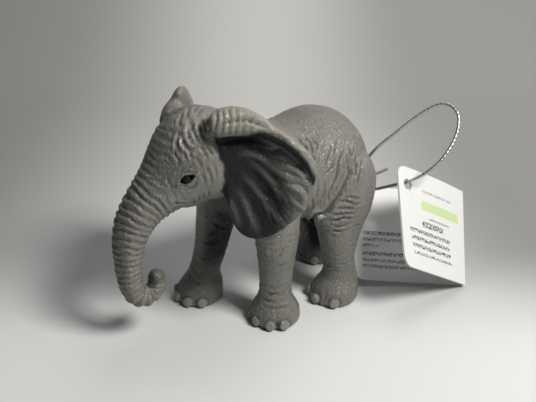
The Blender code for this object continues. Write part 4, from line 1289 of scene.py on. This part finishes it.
def set_stage():
    """A pale floor that curves up into a backdrop behind the animal, greyed to the sides by painted shade.
    Lengths are in millimetres.
    """
    shape = bmesh.new()
    heading = math.radians(CAMERA_TURN_DEG)
    ahead = Vector((math.sin(heading), math.cos(heading), 0.0))
    across = Vector((math.cos(heading), -math.sin(heading), 0.0))
    near, middle, far, bend, wide, tall = -700.0, -200.0, 330.0, 160.0, 1500.0, 900.0
    profile = [(near, 0.0), (middle, 0.0), (0.0, 0.0), (far - bend, 0.0)]
    for angle in np.radians(np.linspace(7.5, 90.0, 12)):
        profile.append((far - bend + bend * math.sin(angle), bend - bend * math.cos(angle)))
    profile.append((far, tall))
    verts = []
    for distance, height in profile:
        start = to_row((0, 0, 0)) + (ahead * distance - across * wide) * MM
        verts.append(shape.verts.new(start + Vector((0, 0, height * MM))))
    edges = [shape.edges.new(pair) for pair in zip(verts, verts[1:])]
    grown = bmesh.ops.extrude_edge_only(shape, edges=edges)
    moved = [item for item in grown["geom"] if isinstance(item, bmesh.types.BMVert)]
    bmesh.ops.translate(shape, verts=moved, vec=across * (2 * wide * MM))
    bmesh.ops.recalc_face_normals(shape, faces=shape.faces)
    mesh = mesh_from(shape, "backdrop")
    mesh.shade_smooth()
    mesh.materials.append(backdrop_paper(heading))
    in_scene("backdrop", mesh)


def backdrop_paper(heading):
    """Matt paper, pale where the animal stands, with painted shade that greys it to the sides and far behind.
    """
    made, tree, shader = blank_material("matt_paper_backdrop")
    place = add(tree, "ShaderNodeTexCoord").outputs["Object"]
    turned = add(tree, "ShaderNodeMapping", {"Vector": place, "Rotation": (0.0, 0.0, heading)})
    parts = add(tree, "ShaderNodeSeparateXYZ", {"Vector": turned.outputs["Vector"]})
    left, right, behind, far_off = (
        add(
            tree, "ShaderNodeMapRange",
            {"Value": parts.outputs[axis], "From Min": low * MM, "From Max": high * MM},
            interpolation_type="SMOOTHSTEP",
        ).outputs["Result"]
        for axis, low, high in (("X", 0, -115), ("X", 2, 92), ("Y", -30, 30), ("Y", 20, 220))
    )
    # Colours (close, distant) of the middle and of the painted shade at the sides
    colour, side_shade_colour = (
        add(
            tree, "ShaderNodeMix", {"Factor": far_off, FIRST: linear(close), SECOND: linear(distant)},
            data_type="RGBA",
        ).outputs[MIXED]
        for close, distant in (("#D5D7D8", "#D8D8D6"), ("#8C8C8C", "#A6A6A6"))
    )
    # The painted shade darkens the sides behind the animal
    for side in (left, right):
        shade = add(tree, "ShaderNodeMath", {0: side, 1: behind}, operation="MULTIPLY")
        colour = add(
            tree, "ShaderNodeMix", {"Factor": shade.outputs[0], FIRST: colour, SECOND: side_shade_colour},
            data_type="RGBA",
        ).outputs[MIXED]
    tree.links.new(colour, shader.inputs["Base Color"])
    shader.inputs["Roughness"].default_value = 0.85
    return made


set_camera()
dress_cord()
dress_tag()
hide = soft_pvc()
skin = joined_mouldings()
split_skin(skin, sculpt(skin), hide)
black = gloss_paint()
for eye in ("left_eye", "right_eye"):
    frame["nodes"][eye].data.materials.clear()
    frame["nodes"][eye].data.materials.append(black)
set_lights()
set_stage()
bpy.context.scene.view_settings.view_transform = "Standard"
